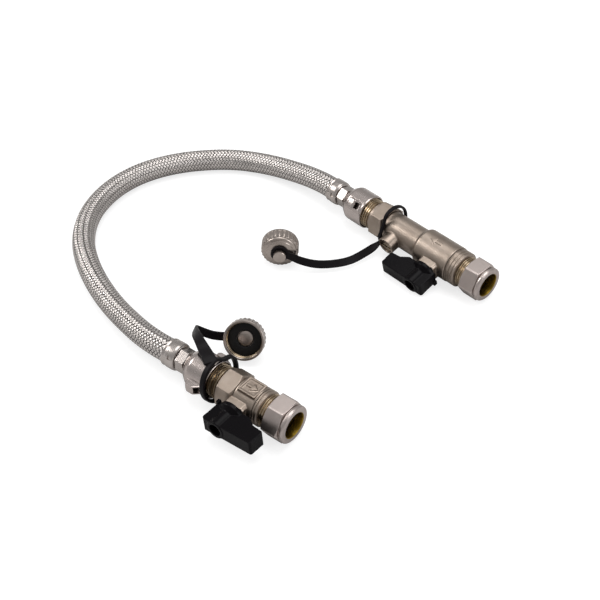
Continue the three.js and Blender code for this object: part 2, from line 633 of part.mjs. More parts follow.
// A section, with a second outline as its hole, carried along a curve.
function sweep(curve, [outline, hole], steps) {
  const shape = new THREE.Shape(outline);
  if (hole) shape.holes.push(new THREE.Path(hole));
  return new THREE.ExtrudeGeometry(shape, { steps, extrudePath: curve, bevelEnabled: false });
}

// Captive nut with two wings that draws the hose tail against the valve.
function swivelNut(start, wingTurn) {
  const end = start + SWIVEL_LENGTH;
  const threadBore = JOINT_THREAD + RUNNING_GAP;
  const shoulder = end - SWIVEL_BACK_WALL;
  const shell = solid(turned([
    [start, 0], [start, SWIVEL_RADIUS - 0.5], [start + 0.6, SWIVEL_RADIUS],
    [start + SWIVEL_CYLINDER - 1, SWIVEL_RADIUS], [start + SWIVEL_CYLINDER + 0.6, SWIVEL_RADIUS - 0.8],
    [end - 1.2, SWIVEL_BACK_RADIUS + 1.2], [end, SWIVEL_BACK_RADIUS], [end, 0],
  ]));
  const wingFrom = start + WING_START;
  const outline = [
    [wingFrom - 0.8, 0], [wingFrom, WING_REACH - 0.6], [wingFrom + 0.8, WING_REACH],
    [wingFrom + WING_LENGTH - 1.4, WING_REACH], [wingFrom + WING_LENGTH, WING_REACH - 1.2],
    [wingFrom + WING_LENGTH + 0.8, 0],
  ];
  const half = WING_WIDTH / 2;
  const slab = block([-end, -start], [-half, half], [-WING_REACH - 1, WING_REACH + 1]);
  const wings = solid(turned(outline)).intersect(solid(slab.rotateX(radians(-wingTurn))));
  const bore = solid(turned([
    [start - 1, 0], [start - 1, threadBore], [shoulder - 1.5, threadBore],
    [shoulder, TAIL_FLANGE + RUNNING_GAP], [shoulder, TAIL_NECK + RUNNING_GAP],
    [end + 1, TAIL_NECK + RUNNING_GAP], [end + 1, 0],
  ]));
  return shell.add(wings).subtract(bore);
}

// Distance along the axis at which the tail's flange starts, behind thread end and washer.
const flangeStart = (threadEnd) => threadEnd + JOINT_WASHER + SEAT_GAP * 2;

function jointWasher(threadEnd) {
  const start = threadEnd + SEAT_GAP;
  return solid(tube(start, start + JOINT_WASHER, THREAD_ROOT, WATERWAY + 1, COARSE));
}

// Where the hose side of the joint lies: hexagon, ferrule and the mouth that the hose enters.
function tailStations(swivelStart) {
  const swivelEnd = swivelStart + SWIVEL_LENGTH;
  const hexStart = swivelEnd + TAIL_HEX_GAP;
  const hexEnd = hexStart + TAIL_HEX_LENGTH;
  const ferruleStart = hexEnd + SEAT_GAP;
  return { swivelEnd, hexStart, hexEnd, ferruleStart, mouth: ferruleStart + FERRULE_LENGTH };
}

function hoseTail(swivelStart, threadEnd) {
  const { swivelEnd, hexStart, hexEnd } = tailStations(swivelStart);
  const flange = flangeStart(threadEnd);
  const flangeEnd = swivelEnd - SWIVEL_BACK_WALL - RUNNING_GAP;
  const tip = hexEnd + TAIL_BARB_LENGTH;
  const stem = solid(turned([
    [flange, TAIL_BORE], [flange, TAIL_FLANGE], [flangeEnd, TAIL_FLANGE], [flangeEnd, TAIL_NECK],
    [hexStart + 0.5, TAIL_NECK], [hexEnd - 1, TAIL_NECK], [hexEnd - 1, TAIL_BARB],
    [tip - 1, TAIL_BARB], [tip, TAIL_BARB - 0.6], [tip, TAIL_BORE],
  ], COARSE));
  const hex = chamferedHex(hexStart, hexEnd, TAIL_FLATS, 0, 0.6);
  return stem.add(hex.subtract(solid(rod(hexStart - 1, hexEnd + 1, TAIL_BARB, COARSE))));
}

// Crimped sleeve over the end of the hose, with its small inspection notch.
function ferrule(swivelStart) {
  const { ferruleStart: start, mouth } = tailStations(swivelStart);
  const wallEnd = start + FERRULE_FRONT_WALL;
  const bore = HOSE_RADIUS + SEAT_GAP;
  const sleeve = solid(turned([
    [start, TAIL_BARB + SEAT_GAP], [start, FERRULE_RADIUS - 1.2], [start + 0.9, FERRULE_RADIUS - 0.2],
    [start + 2, FERRULE_RADIUS], [mouth - 3, FERRULE_RADIUS], [mouth - 2, FERRULE_RADIUS - 0.35],
    [mouth - 0.8, FERRULE_RADIUS], [mouth, FERRULE_RADIUS - 0.3], [mouth, bore], [wallEnd, bore],
    [wallEnd, TAIL_BARB + SEAT_GAP],
  ]));
  const half = NOTCH_WIDTH / 2;
  const from = start + 2.2;
  const notch = block([-from - NOTCH_LENGTH, -from], [-half, half], [bore + 0.2, FERRULE_RADIUS + 1]);
  return sleeve.subtract(solid(notch.rotateX(radians(NOTCH_TURN))));
}

// Side view of the lever, in [a, h]: a runs along the long arm from the stem, h away from the boss.
function handleOutline() {
  const shape = new THREE.Shape();
  const top = HANDLE_HEIGHT;
  const underside = HANDLE_LIFT + HANDLE_ARM_RISE;
  shape.moveTo(-HANDLE_HEEL + 0.4, HANDLE_LIFT + 0.2);
  shape.lineTo(HANDLE_SLOPE_START, HANDLE_LIFT + 0.2);
  shape.lineTo(HANDLE_SLOPE_END, underside - 0.6);
  shape.lineTo(HANDLE_ARM - 0.4, underside);
  shape.lineTo(HANDLE_ARM + 0.5, underside + 0.8);
  shape.lineTo(HANDLE_ARM, top - 0.8);
  shape.lineTo(HANDLE_ARM - 0.8, top);
  shape.lineTo(-HANDLE_HEEL + 1, top);
  shape.lineTo(-HANDLE_HEEL, top - 1);
  shape.closePath();
  return shape;
}

// Plastic lever with a hub over the stem, its long arm towards +X.
function handle() {
  const depth = HANDLE_THICKNESS - 2 * HANDLE_BEVEL;
  const bar = new THREE.ExtrudeGeometry(handleOutline(), {
    depth, steps: 1, curveSegments: 4, bevelThickness: HANDLE_BEVEL, bevelSize: HANDLE_BEVEL,
    bevelOffset: -HANDLE_BEVEL, bevelSegments: 1,
  });
  bar.translate(0, 0, -depth / 2).rotateX(Math.PI);
  const hubTop = HANDLE_HEIGHT + 0.4;
  const hub = solid(turnedOnStem([[HANDLE_LIFT, 0], [HANDLE_LIFT, HANDLE_BASE],
    [HANDLE_BASE_HEIGHT, HANDLE_BASE], [HANDLE_BASE_HEIGHT + 2, HANDLE_HUB],
    [hubTop - 0.5, HANDLE_HUB], [hubTop, HANDLE_HUB - 0.5], [hubTop, 0]]));
  const webFloor = STEM_PROUD + SEAT_GAP;
  const recessFloor = webFloor + SCREW_WEB;
  const socketHalf = STEM_FLATS / 2 + SEAT_GAP;
  const socketRadius = STEM_RADIUS + SEAT_GAP;
  const reach = socketRadius + 1;
  const round = solid(turnedOnStem([[-1, 0], [-1, socketRadius], [webFloor, socketRadius],
    [webFloor, 0]], COARSE));
  const driven = round.intersect(solid(block([-reach, reach], [-webFloor - 1, 2],
    [-socketHalf, socketHalf])));
  const entry = solid(turnedOnStem([[-1, 0], [-1, socketRadius], [1.4, socketRadius], [1.4, 0]], COARSE));
  const screwBore = SCREW_SHANK + SEAT_GAP;
  const headBore = SCREW_HEAD + SEAT_GAP;
  const recess = solid(turnedOnStem([[webFloor - 1, 0], [webFloor - 1, screwBore],
    [recessFloor, screwBore], [recessFloor, headBore], [hubTop + 1, headBore], [hubTop + 1, 0]], COARSE));
  const stop = block([-HANDLE_BASE - 1, -HANDLE_BASE + 1], [-HANDLE_BASE_HEIGHT, -HANDLE_LIFT],
    [3, HANDLE_THICKNESS / 2 + HANDLE_STOP]);
  return solid(bar).add(hub).add(solid(stop)).subtract(driven).subtract(entry).subtract(recess);
}

function handleScrew() {
  const seat = STEM_PROUD + SEAT_GAP + SCREW_WEB + SEAT_GAP;
  const top = seat + SCREW_HEAD_LENGTH;
  const tip = STEM_PROUD - SCREW_SHANK_LENGTH + 1;
  const body = solid(turnedOnStem([[tip, 0], [tip + 0.8, SCREW_SHANK], [seat, SCREW_SHANK],
    [seat, SCREW_HEAD], [top - 0.8, SCREW_HEAD], [top, SCREW_HEAD - 1.2], [top, 0]], COARSE));
  const half = SCREW_CROSS / 2;
  const reach = SCREW_HEAD * 0.62;
  const cross = solid(block([-reach, reach], [-top - 1, -top + 0.9], [-half, half]))
    .add(solid(block([-half, half], [-top - 1, -top + 0.9], [-reach, reach])));
  return body.subtract(cross);
}

// Blanking cap about its own axis: closed face at 0, opening towards +X, stud towards -X.
function blankingCap() {
  const neckEnd = STUD_NECK_LENGTH;
  const studEnd = neckEnd + STUD_HEAD_LENGTH;
  const shell = solid(turned([
    [0.1, 0], [0, CAP_FACE_RADIUS - 2.6], [-0.5, CAP_FACE_RADIUS - 2.2], [-1.1, CAP_FACE_RADIUS - 0.2],
    [-1.8, CAP_FACE_RADIUS], [-2.4, CAP_RADIUS - 0.2], [-CAP_DEPTH, CAP_RADIUS], [-CAP_DEPTH, 0],
  ], CAP_SCALLOPS * 2));
  const length = CAP_DEPTH - CAP_RIM_BAND - 1.8;
  const cutter = (i) => new THREE.CylinderGeometry(SCALLOP_RADIUS, SCALLOP_RADIUS, length, 6)
    .rotateZ(-Math.PI / 2)
    .translate(length / 2 + 1.8, 0, CAP_RADIUS + SCALLOP_RADIUS - SCALLOP_DEPTH)
    .rotateX(radians((i * 360) / CAP_SCALLOPS));
  const scallops = Array.from({ length: CAP_SCALLOPS }, (_, i) => solid(cutter(i)));
  const hollow = solid(turned([[-CAP_DEPTH - 1, 0], [-CAP_DEPTH - 1, CAP_THREAD],
    [-CAP_FLOOR, CAP_THREAD], [-CAP_FLOOR, CAP_DOME], [-CAP_FLOOR - CAP_DOME_HEIGHT * 0.7, CAP_DOME - 1],
    [-CAP_FLOOR - CAP_DOME_HEIGHT, CAP_DOME - 2.6], [-CAP_FLOOR - CAP_DOME_HEIGHT, 0]]));
  const stud = solid(turned([[studEnd, 0], [studEnd, STUD_HEAD - 0.5], [studEnd - 0.5, STUD_HEAD],
    [neckEnd, STUD_HEAD], [neckEnd, STUD_NECK], [-1, STUD_NECK], [-1, 0]], COARSE));
  return scallops.reduce((whole, scallop) => whole.subtract(scallop), shell).subtract(hollow).add(stud);
}

function capWasher() {
  const start = -CAP_FLOOR - SEAT_GAP;
  return solid(tube(start - CAP_WASHER_THICKNESS, start, CAP_THREAD - SEAT_GAP, CAP_DOME + SEAT_GAP));
}

// A flat band that follows points, with its width laid along a direction given at each point.
// It narrows to a share of its width over the first part of its length.
function band(points, widthDirections, startShare) {
  const curve = new THREE.CatmullRomCurve3(points, false, 'centripetal');
  const widths = new THREE.CatmullRomCurve3(widthDirections, false, 'centripetal');
  const geometry = new THREE.BoxGeometry(STRAP_WIDTH, 1, STRAP_THICKNESS, 1, STRAP_STEPS, 1);
  const position = geometry.getAttribute('position');
  for (let i = 0; i < position.count; i += 1) {
    const u = THREE.MathUtils.clamp(position.getY(i) + 0.5, 0, 1);
    const share = THREE.MathUtils.lerp(startShare, 1, THREE.MathUtils.smoothstep(u, 0, STRAP_TAPER));
    const tangent = curve.getTangent(u);
    const across = widths.getPoint(u);
    across.addScaledVector(tangent, -across.dot(tangent)).normalize();
    const through = new THREE.Vector3().crossVectors(across, tangent);
    const place = curve.getPoint(u).addScaledVector(across, position.getX(i) * share)
      .addScaledVector(through, position.getZ(i));
    position.setXYZ(i, place.x, place.y, place.z);
  }
  return geometry;
}

// Ring round the valve, pressed in on one side and narrowed as it hangs.
function strapLoop({ station, centre, lean, narrowing, pressed }) {
  const half = LOOP_WIDTH / 2;
  const ring = tube(-half, half, LOOP_INNER + LOOP_THICKNESS, LOOP_INNER, LOOP_SEGMENTS);
  const position = ring.getAttribute('position');
  for (let i = 0; i < position.count; i += 1) {
    const [y, z] = [position.getY(i), position.getZ(i)];
    const angle = THREE.MathUtils.radToDeg(Math.atan2(-y, z));
    const share = THREE.MathUtils.clamp((angle - pressed.from) / (pressed.to - pressed.from), 0, 1);
    const scale = 1 - (pressed.depth * Math.sin(share * Math.PI) ** 2) / Math.hypot(y, z);
    position.setY(i, y * scale * narrowing);
    position.setZ(i, z * scale);
  }
  return ring.rotateY(radians(-lean)).translate(-station, ...centre);
}

// Strap in the assembly's own axes: loop round the valve, band along its route, eyelet on the stud.
function strap({ valve, loop, cap, route, widths, startShare }) {
  const eyelet = tube(SEAT_GAP, SEAT_GAP + STRAP_THICKNESS, EYELET_RADIUS, STUD_NECK + SEAT_GAP, COARSE);
  const hole = rod(-CAP_DEPTH, STUD_NECK_LENGTH + STUD_HEAD_LENGTH, STUD_NECK + SEAT_GAP, COARSE);
  const vectors = (rows) => rows.map((row) => new THREE.Vector3(...row));
  const ribbon = band(vectors(route), vectors(widths), startShare);
  return solid(strapLoop(loop).applyMatrix4(valve)).add(solid(ribbon)).add(solid(eyelet.applyMatrix4(cap)))
    .subtract(solid(hole.applyMatrix4(cap)));
}

function add(parent, name, shape, material) {
  parent.add(toMesh(name, shape, material));
}

function groupAt(position, turns = {}) {
  const made = new THREE.Group();
  made.position.set(...position);
  made.rotation.set(radians(turns.x ?? 0), radians(turns.y ?? 0), radians(turns.z ?? 0), 'ZXY');
  made.updateMatrix();
  return made;
}

// What both valves share: nut, olive, socket, ball, seats, stem, seal, handle and its screw.
function addBallValve(valve, prefix, { nutTurn, flange, stem, bossTop, handleTurn }) {
  add(valve, `${prefix}_compression_nut`, compressionNut(nutTurn), nutNickel);
  add(valve, `${prefix}_olive`, olive(), brass);
  add(valve, `${prefix}_compression_insert`, compressionInsert(flange, stem), nickel);
  const onStem = groupAt([-stem, 0, 0]);
  valve.add(onStem);
  add(onStem, `${prefix}_ball`, ball(), polishedSteel);
  add(onStem, `${prefix}_seat_pipe_side`, ballSeat(-1), ptfe);
  add(onStem, `${prefix}_seat_hose_side`, ballSeat(1), ptfe);
  add(onStem, `${prefix}_stem`, valveStem(bossTop), brass);
  add(onStem, `${prefix}_stem_seal`, stemSeal(), sealRubber);
  const lever = groupAt([-stem, -bossTop, 0], { y: handleTurn });
  valve.add(lever);
  add(lever, `${prefix}_handle`, handle(), handleBlack);
  add(lever, `${prefix}_handle_screw`, handleScrew(), springSteel);
}

// One end of the hose: swivel nut, washer, tail and ferrule.
function addHoseEnd(valve, prefix, swivelStart, threadEnd, wingTurn) {
  add(valve, `${prefix}_swivel_nut`, swivelNut(swivelStart, wingTurn), nutNickel);
  add(valve, `${prefix}_joint_washer`, jointWasher(threadEnd), sealRubber);
  add(valve, `${prefix}_hose_tail`, hoseTail(swivelStart, threadEnd), polishedSteel);
  add(valve, `${prefix}_ferrule`, ferrule(swivelStart), polishedSteel);
}

function addCap(parent, prefix, cap) {
  const holder = groupAt([0, 0, 0]);
  cap.decompose(holder.position, holder.quaternion, holder.scale);
  parent.add(holder);
  add(holder, `${prefix}_cap`, blankingCap(), capNickel);
  add(holder, `${prefix}_cap_washer`, capWasher(), sealRubber);
}

// A cap's place: its closed face's centre, and the direction in which it opens.
function capPlace(position, opening) {
  const x = new THREE.Vector3(...opening).normalize();
  const y = new THREE.Vector3(0, 0, 1).cross(x).normalize();
  const z = new THREE.Vector3().crossVectors(x, y);
  return new THREE.Matrix4().makeBasis(x, y, z).setPosition(...position);
}

function addHose(parent, farValve, nearValve) {
  const along = (valve, t) => new THREE.Vector3(-t, 0, 0).applyMatrix4(valve.matrix);
  const endPoints = (valve, swivelStart) => {
    const { ferruleStart, mouth } = tailStations(swivelStart);
    return [ferruleStart + FERRULE_FRONT_WALL + SEAT_GAP, mouth - 2, mouth + 2]
      .map((t) => along(valve, t));
  };
  const middle = HOSE_ROUTE.map((row) => new THREE.Vector3(...row));
  const points = [...endPoints(farValve, FAR_SWIVEL_START), ...middle,
    ...endPoints(nearValve, NEAR_SWIVEL_START).reverse()];
  const curve = new THREE.CatmullRomCurve3(points, false, 'centripetal');
  const ring = (radius) => polygon(radius, HOSE_SIDES);
  const braid = sweep(curve, [ring(HOSE_RADIUS), ring(HOSE_RADIUS - BRAID_WALL)], HOSE_STEPS);
  const liner = sweep(curve, [ring(LINER_RADIUS), ring(LINER_BORE)], HOSE_STEPS);
  add(parent, 'hose_braid', solid(braid), braidSteel);
  add(parent, 'hose_liner', solid(liner), linerRubber);
}

const assembly = new THREE.Group();

const isolatingValve = groupAt(NEAR_END, { z: NEAR_HEADING });
assembly.add(isolatingValve);
addBallValve(isolatingValve, 'isolating', {
  nutTurn: NEAR_NUT_TURN, stem: NEAR_STEM, bossTop: NEAR_BOSS_TOP, handleTurn: -NEAR_HANDLE_LIFT,
  flange: { start: NEAR_FLANGE_START, end: NEAR_FLANGE_END, radius: NEAR_FLANGE_RADIUS },
});
add(isolatingValve, 'isolating_body', nearBody(), nickel);
addHoseEnd(isolatingValve, 'isolating', NEAR_SWIVEL_START, NEAR_THREAD_END, NEAR_WING_TURN);

const checkValve = groupAt(FAR_END, { x: FAR_ROLL });
assembly.add(checkValve);
addBallValve(checkValve, 'check', {
  nutTurn: FAR_NUT_TURN - FAR_ROLL, stem: FAR_STEM, bossTop: FAR_BOSS_TOP, handleTurn: 180,
  flange: { start: FAR_FLANGE_START, end: FAR_FLANGE_END, radius: FAR_BODY_RADIUS - 0.4 },
});
add(checkValve, 'check_body', farBody(), nickel);
add(checkValve, 'check_adapter', farAdapter(), nickel);
const testPoint = groupAt([-TEST_POINT, 0, 0]);
checkValve.add(testPoint);
add(testPoint, 'check_test_plug', testPlug(), nutNickel);
CHECK_STARTS.forEach((start, i) => {
  add(checkValve, `check_cage_${i + 1}`, checkCage(start), cageWhite);
  add(checkValve, `check_poppet_${i + 1}`, checkPoppet(start), cageWhite);
  add(checkValve, `check_spring_${i + 1}`, checkSpring(start), springSteel);
});
addHoseEnd(checkValve, 'check', FAR_SWIVEL_START, FAR_THREAD_END, FAR_WING_TURN + FAR_ROLL);

addHose(assembly, checkValve, isolatingValve);

const nearCap = capPlace(NEAR_CAP, NEAR_CAP_OPENING);
addCap(assembly, 'isolating', nearCap);
add(assembly, 'isolating_strap', strap({
  valve: isolatingValve.matrix, loop: NEAR_LOOP, cap: nearCap,
  route: NEAR_STRAP_ROUTE, widths: NEAR_STRAP_WIDTHS, startShare: 1,
}), strapBlack);

const farCap = capPlace(FAR_CAP, FAR_CAP_OPENING);
addCap(assembly, 'check', farCap);
add(assembly, 'check_strap', strap({
  valve: new THREE.Matrix4().makeTranslation(...FAR_END), loop: FAR_LOOP, cap: farCap,
  route: FAR_STRAP_ROUTE, widths: FAR_STRAP_WIDTHS, startShare: LOOP_WIDTH / STRAP_WIDTH,
}), strapBlack);

// The origin is on the table under the middle of everything but the hose.
const extent = new THREE.Box3();
assembly.updateMatrixWorld(true);
assembly.traverse((piece) => {
  if (piece.isMesh && !piece.name.startsWith('hose_')) extent.expandByObject(piece, true);
});
const middle = extent.getCenter(new THREE.Vector3());
assembly.position.set(-middle.x, -middle.y, -extent.min.z);

const group = new THREE.Group();
group.add(assembly);
export default group;
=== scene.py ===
"""Looks of a heating-system filling loop: two valves, a braided hose and two strapped caps.

Shapes are drawn in millimetres in a valve's or cap's own axes, and placed in the row frame in
metres. Along a valve, t is the distance from the outer face of its compression nut back along the
pipe axis, so x is -t. w is the distance from that axis along the handle's stem, so y is -w.
Angles round the pipe axis count from straight up, towards the handle's side.
"""

import logging
import math
from collections.abc import Callable, Iterable, Sequence
from dataclasses import dataclass, field
from enum import Enum

import bmesh
import bpy
import numpy as np
from mathutils import Matrix, Vector

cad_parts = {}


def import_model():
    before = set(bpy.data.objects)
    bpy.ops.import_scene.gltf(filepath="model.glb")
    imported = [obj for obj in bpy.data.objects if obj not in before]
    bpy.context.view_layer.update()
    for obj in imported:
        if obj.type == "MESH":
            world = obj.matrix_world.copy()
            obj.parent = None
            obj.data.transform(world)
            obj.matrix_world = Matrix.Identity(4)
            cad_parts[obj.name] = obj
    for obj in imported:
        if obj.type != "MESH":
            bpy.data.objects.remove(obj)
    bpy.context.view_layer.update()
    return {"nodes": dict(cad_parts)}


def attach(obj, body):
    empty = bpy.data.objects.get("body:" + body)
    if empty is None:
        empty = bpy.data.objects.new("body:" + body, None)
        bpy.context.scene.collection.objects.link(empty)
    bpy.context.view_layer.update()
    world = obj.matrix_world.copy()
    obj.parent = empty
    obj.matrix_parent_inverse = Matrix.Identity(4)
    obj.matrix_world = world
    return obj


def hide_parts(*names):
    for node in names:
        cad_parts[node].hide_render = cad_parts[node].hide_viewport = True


log = logging.getLogger("filling_loop")

MM = 0.001
SHIFT = Vector((-12.805, 7.084, -0.004))
ROUND_SEGMENTS = 96
SHARP_ANGLE = math.radians(27)
MERGE_DISTANCE = 1e-5
THREAD_PITCH = 1.814
THREAD_CREST = 10.48
THREAD_ROOT = 9.5
SPANNER_FLATS = 23.0
WATERWAY = 5.2
CHAMBER = 8.4
CHAMBER_DEPTH = 7.8
STEM_BORE = 3.3
GLAND = (9.3, 4.6)
BOSS_RADIUS = 8.4
BOSS_HALF = 6.6
BORE_FACING = 0.2

Row = tuple[float | np.ndarray, float | np.ndarray]
Outline = Sequence[tuple[float, float]]
Colour = tuple[float, float, float]


class Body(Enum):
    """The moving bodies of the part."""

    LOOP = "loop"
    NEAR_LEVER = "near_lever"
    FAR_LEVER = "far_lever"
    NEAR_SWIVEL = "near_swivel"
    FAR_SWIVEL = "far_swivel"


class Cut(Enum):
    """How one solid changes another."""

    JOIN = "UNION"
    REMOVE = "DIFFERENCE"
    KEEP = "INTERSECT"


class Hand(Enum):
    """Which way a braid's ribbons wind."""

    RIGHT = 1
    LEFT = -1


@dataclass(frozen=True)
class Place:
    """Where a valve or cap lies: its origin in part millimetres and its turns in degrees."""

    origin: tuple[float, float, float]
    roll: float = 0.0
    heading: float = 0.0

    def matrix(self) -> Matrix:
        """Own millimetres to metres in the row frame."""
        turns = Matrix.Rotation(math.radians(self.heading), 4, "Z") @ Matrix.Rotation(
            math.radians(self.roll), 4, "X"
        )
        return (
            Matrix.Scale(MM, 4) @ Matrix.Translation(SHIFT + Vector(self.origin)) @ turns
        )

    def metres(self) -> Vector:
        """The origin in the row frame."""
        return (SHIFT + Vector(self.origin)) * MM


NEAR_PLACE = Place((83.7, -79.7, 12.6), heading=10)
FAR_PLACE = Place((80.2, 87.0, 13.4), roll=15)


@dataclass
class Shape:
    """A closed surface in millimetres, in the axes of the valve or cap that it belongs to."""

    points: np.ndarray
    faces: list[tuple[int, ...]]

    def moved(self, matrix: Matrix) -> "Shape":
        """The same shape at another place."""
        turn = np.array(matrix.to_3x3())
        return Shape(self.points @ turn.T + np.array(matrix.translation), self.faces)

    def shifted(self, x: float = 0, y: float = 0, z: float = 0) -> "Shape":
        """The same shape moved along the axes."""
        return Shape(self.points + np.array([x, y, z]), self.faces)

    def rolled(self, degrees: float) -> "Shape":
        """The same shape turned about the pipe axis."""
        return self.moved(Matrix.Rotation(math.radians(degrees), 4, "X"))

    def on_stem(self) -> "Shape":
        """A shape drawn about the pipe axis, turned to lie about the stem."""
        return self.moved(Matrix.Rotation(math.pi / 2, 4, "Z"))

    def mesh(self, name: str) -> bpy.types.Mesh:
        """The shape as a Blender mesh with its faces turned outwards."""
        mesh = bpy.data.meshes.new(name)
        mesh.from_pydata(self.points.tolist(), [], self.faces)
        work = bmesh.new()
        work.from_mesh(mesh)
        bmesh.ops.remove_doubles(work, verts=work.verts, dist=MERGE_DISTANCE)
        bmesh.ops.dissolve_degenerate(work, edges=work.edges, dist=MERGE_DISTANCE)
        bmesh.ops.recalc_face_normals(work, faces=work.faces)
        work.to_mesh(mesh)
        work.free()
        return mesh


def circle(segments: int = ROUND_SEGMENTS) -> np.ndarray:
    """Even angles round the axis, in radians."""
    return np.linspace(0, 2 * math.pi, segments, endpoint=False)


def revolve(rows: Iterable[Row], angles: np.ndarray | None = None) -> Shape:
    """A surface round the pipe axis.

    Args:
        rows: (t, radius) of each ring, numbers or arrays over the angles, round the closed section.
        angles: where the section stands, in radians.

    Returns:
        The closed shape.
    """
    angles = circle() if angles is None else angles
    count = len(angles)
    points: list[tuple[float, float, float]] = []
    rings: list[list[int]] = []
    for t, radius in rows:
        along = np.broadcast_to(np.asarray(t, float), count)
        out = np.broadcast_to(np.asarray(radius, float), count)
        first = len(points)
        if out.max() < 1e-6:
            points.append((-along[0], 0.0, 0.0))
            rings.append([first] * count)
            continue
        points.extend(zip(-along, -out * np.sin(angles), out * np.cos(angles)))
        rings.append(list(range(first, first + count)))
    faces = []
    for near, far in zip(rings, rings[1:] + rings[:1]):
        for i in range(count):
            j = (i + 1) % count
            corners = tuple(dict.fromkeys((near[i], near[j], far[j], far[i])))
            if len(corners) > 2:
                faces.append(corners)
    return Shape(np.array(points), faces)


def softened(outline: Outline, radius: float = 0.35, steps: int = 3) -> list[Row]:
    """A closed (t, radius) outline with its corners rounded, except those on the axis.

    Args:
        outline: the corners in order.
        radius: how far from a corner its rounding starts, in millimetres.
        steps: how many edges each rounding has.

    Returns:
        The rounded outline.
    """
    rows: list[Row] = []
    corners = [Vector(p) for p in outline]
    for i, corner in enumerate(corners):
        before, after = corners[i - 1], corners[(i + 1) % len(corners)]
        if corner.y < 1e-6:
            rows.append((corner.x, corner.y))
            continue
        start = corner + (before - corner).normalized() * min(
            radius, 0.45 * (before - corner).length
        )
        end = corner + (after - corner).normalized() * min(
            radius, 0.45 * (after - corner).length
        )
        for k in range(steps + 1):
            u = k / steps
            point = start * (1 - u) ** 2 + corner * 2 * u * (1 - u) + end * u**2
            rows.append((point.x, point.y))
    return rows


def lathe(
    outline: Outline, radius: float = 0.35, segments: int = ROUND_SEGMENTS
) -> Shape:
    """A turned shape with rounded corners, from its closed (t, radius) outline."""
    return revolve(softened(outline, radius), circle(segments))


def block(x: tuple[float, float], y: tuple[float, float], z: tuple[float, float]) -> Shape:
    """A box that other shapes are joined to or cut with."""
    points = np.array([(a, b, c) for a in x for b in y for c in z], float)
    faces = [
        (0, 1, 3, 2), (4, 6, 7, 5), (0, 4, 5, 1), (2, 3, 7, 6), (0, 2, 6, 4), (1, 5, 7, 3),
    ]
    return Shape(points, faces)


def prism(outline: Outline, low: float, high: float) -> Shape:
    """An outline in x and y, drawn out along z."""
    count = len(outline)
    points = [(x, y, z) for z in (low, high) for x, y in outline]
    sides = [(i, (i + 1) % count, count + (i + 1) % count, count + i) for i in range(count)]
    caps = [tuple(range(count)), tuple(range(2 * count - 1, count - 1, -1))]
    return Shape(np.array(points, float), sides + caps)


@dataclass(frozen=True)
class Hexagon:
    """A spanner hexagon round the pipe axis, with rounded corners."""

    flats: float
    turn: float = 0.0
    fillet: float = 0.6
    flat_steps: int = 8
    corner_steps: int = 4
    margin: float = 0.8
    inset: float = 0.25
    cone_share: float = 0.85

    def angles(self) -> np.ndarray:
        """Angles of the section, closest together round the corners."""
        edge = math.degrees(
            math.atan((1 - self.fillet * 2 / self.flats) * math.tan(math.radians(30)))
        )
        inner = edge - self.margin
        flat = np.linspace(-inner, inner, self.flat_steps)
        corner = np.linspace(edge, 60 - edge, self.corner_steps, endpoint=False)
        one = np.concatenate([[-edge], flat, corner])
        return np.radians(
            np.concatenate([one + 60 * k + 30 + self.turn for k in range(6)])
        )

    def radius(self, angles: np.ndarray) -> np.ndarray:
        """Distance of the hexagon from the axis at each angle."""
        across = self.flats / 2
        from_flat = np.radians(np.mod(np.degrees(angles) - self.turn, 60) - 30)
        straight = across / np.cos(from_flat)
        centre = (across - self.fillet) / math.cos(math.radians(30))
        to_corner = math.radians(30) - np.abs(from_flat)
        inside = np.maximum(self.fillet**2 - (centre * np.sin(to_corner)) ** 2, 0)
        rounded = centre * np.cos(to_corner) + np.sqrt(inside)
        is_corner = np.tan(np.abs(from_flat)) > (1 - self.fillet / across) * math.tan(
            math.radians(30)
        )
        return np.where(is_corner, rounded, straight)

    def rows(self, start: float, end: float, chamfers: tuple[float, float]) -> list[Row]:
        """Rings of the chamfered hexagon from one end to the other.

        Args:
            start: where it starts along t.
            end: where it ends.
            chamfers: length of the chamfer at each end, at the corners.

        Returns:
            The rings, with the arcs that the chamfers leave on the flats.
        """
        radius = self.radius(self.angles())
        base = self.flats / 2 - self.inset
        share = (radius - base) / (self.flats / math.sqrt(3) - base)
        first, last = start + chamfers[0] * share, end - chamfers[1] * share
        near, far = first - 0.04, last + 0.04
        edge, share = radius - 0.05, self.cone_share
        cone = base + (edge - base) * share
        return [
            (start, base), (start + (near - start) * share, cone), (near, edge),
            (first + 0.08, radius), (first + 0.3, radius), (last - 0.3, radius),
            (last - 0.08, radius), (far, edge), (end + (far - end) * share, cone), (end, base),
        ]


def thread_rows(
    start: float, end: float, crest: float, root: float, pitch: float
) -> list[Row]:
    """Rings of a thread, each turn with its root, flanks and flat crest.

    Args:
        start: where it starts along t.
        end: where it ends.
        crest: radius of its crests.
        root: radius of its roots.
        pitch: the wanted pitch, fitted to whole turns.

    Returns:
        The rings.
    """
    turns = max(1, round((end - start) / pitch))
    step = (end - start) / turns
    section = ((0.0, root), (0.14, root), (0.42, crest), (0.66, crest), (0.94, root))
    rows: list[Row] = [
        (start + (k + share) * step, radius) for k in range(turns) for share, radius in section
    ]
    return [*rows, (end, root)]


def object_of(mesh: bpy.types.Mesh) -> bpy.types.Object:
    """A mesh as an object in the scene."""
    made = bpy.data.objects.new(mesh.name, mesh)
    bpy.context.scene.collection.objects.link(made)
    return made


def settled(work: bpy.types.Object) -> bpy.types.Mesh:
    """The mesh that an object's modifiers give. The object is removed."""
    graph = bpy.context.evaluated_depsgraph_get()
    mesh = bpy.data.meshes.new_from_object(work.evaluated_get(graph))
    mesh.name = work.name
    bpy.data.objects.remove(work)
    return mesh


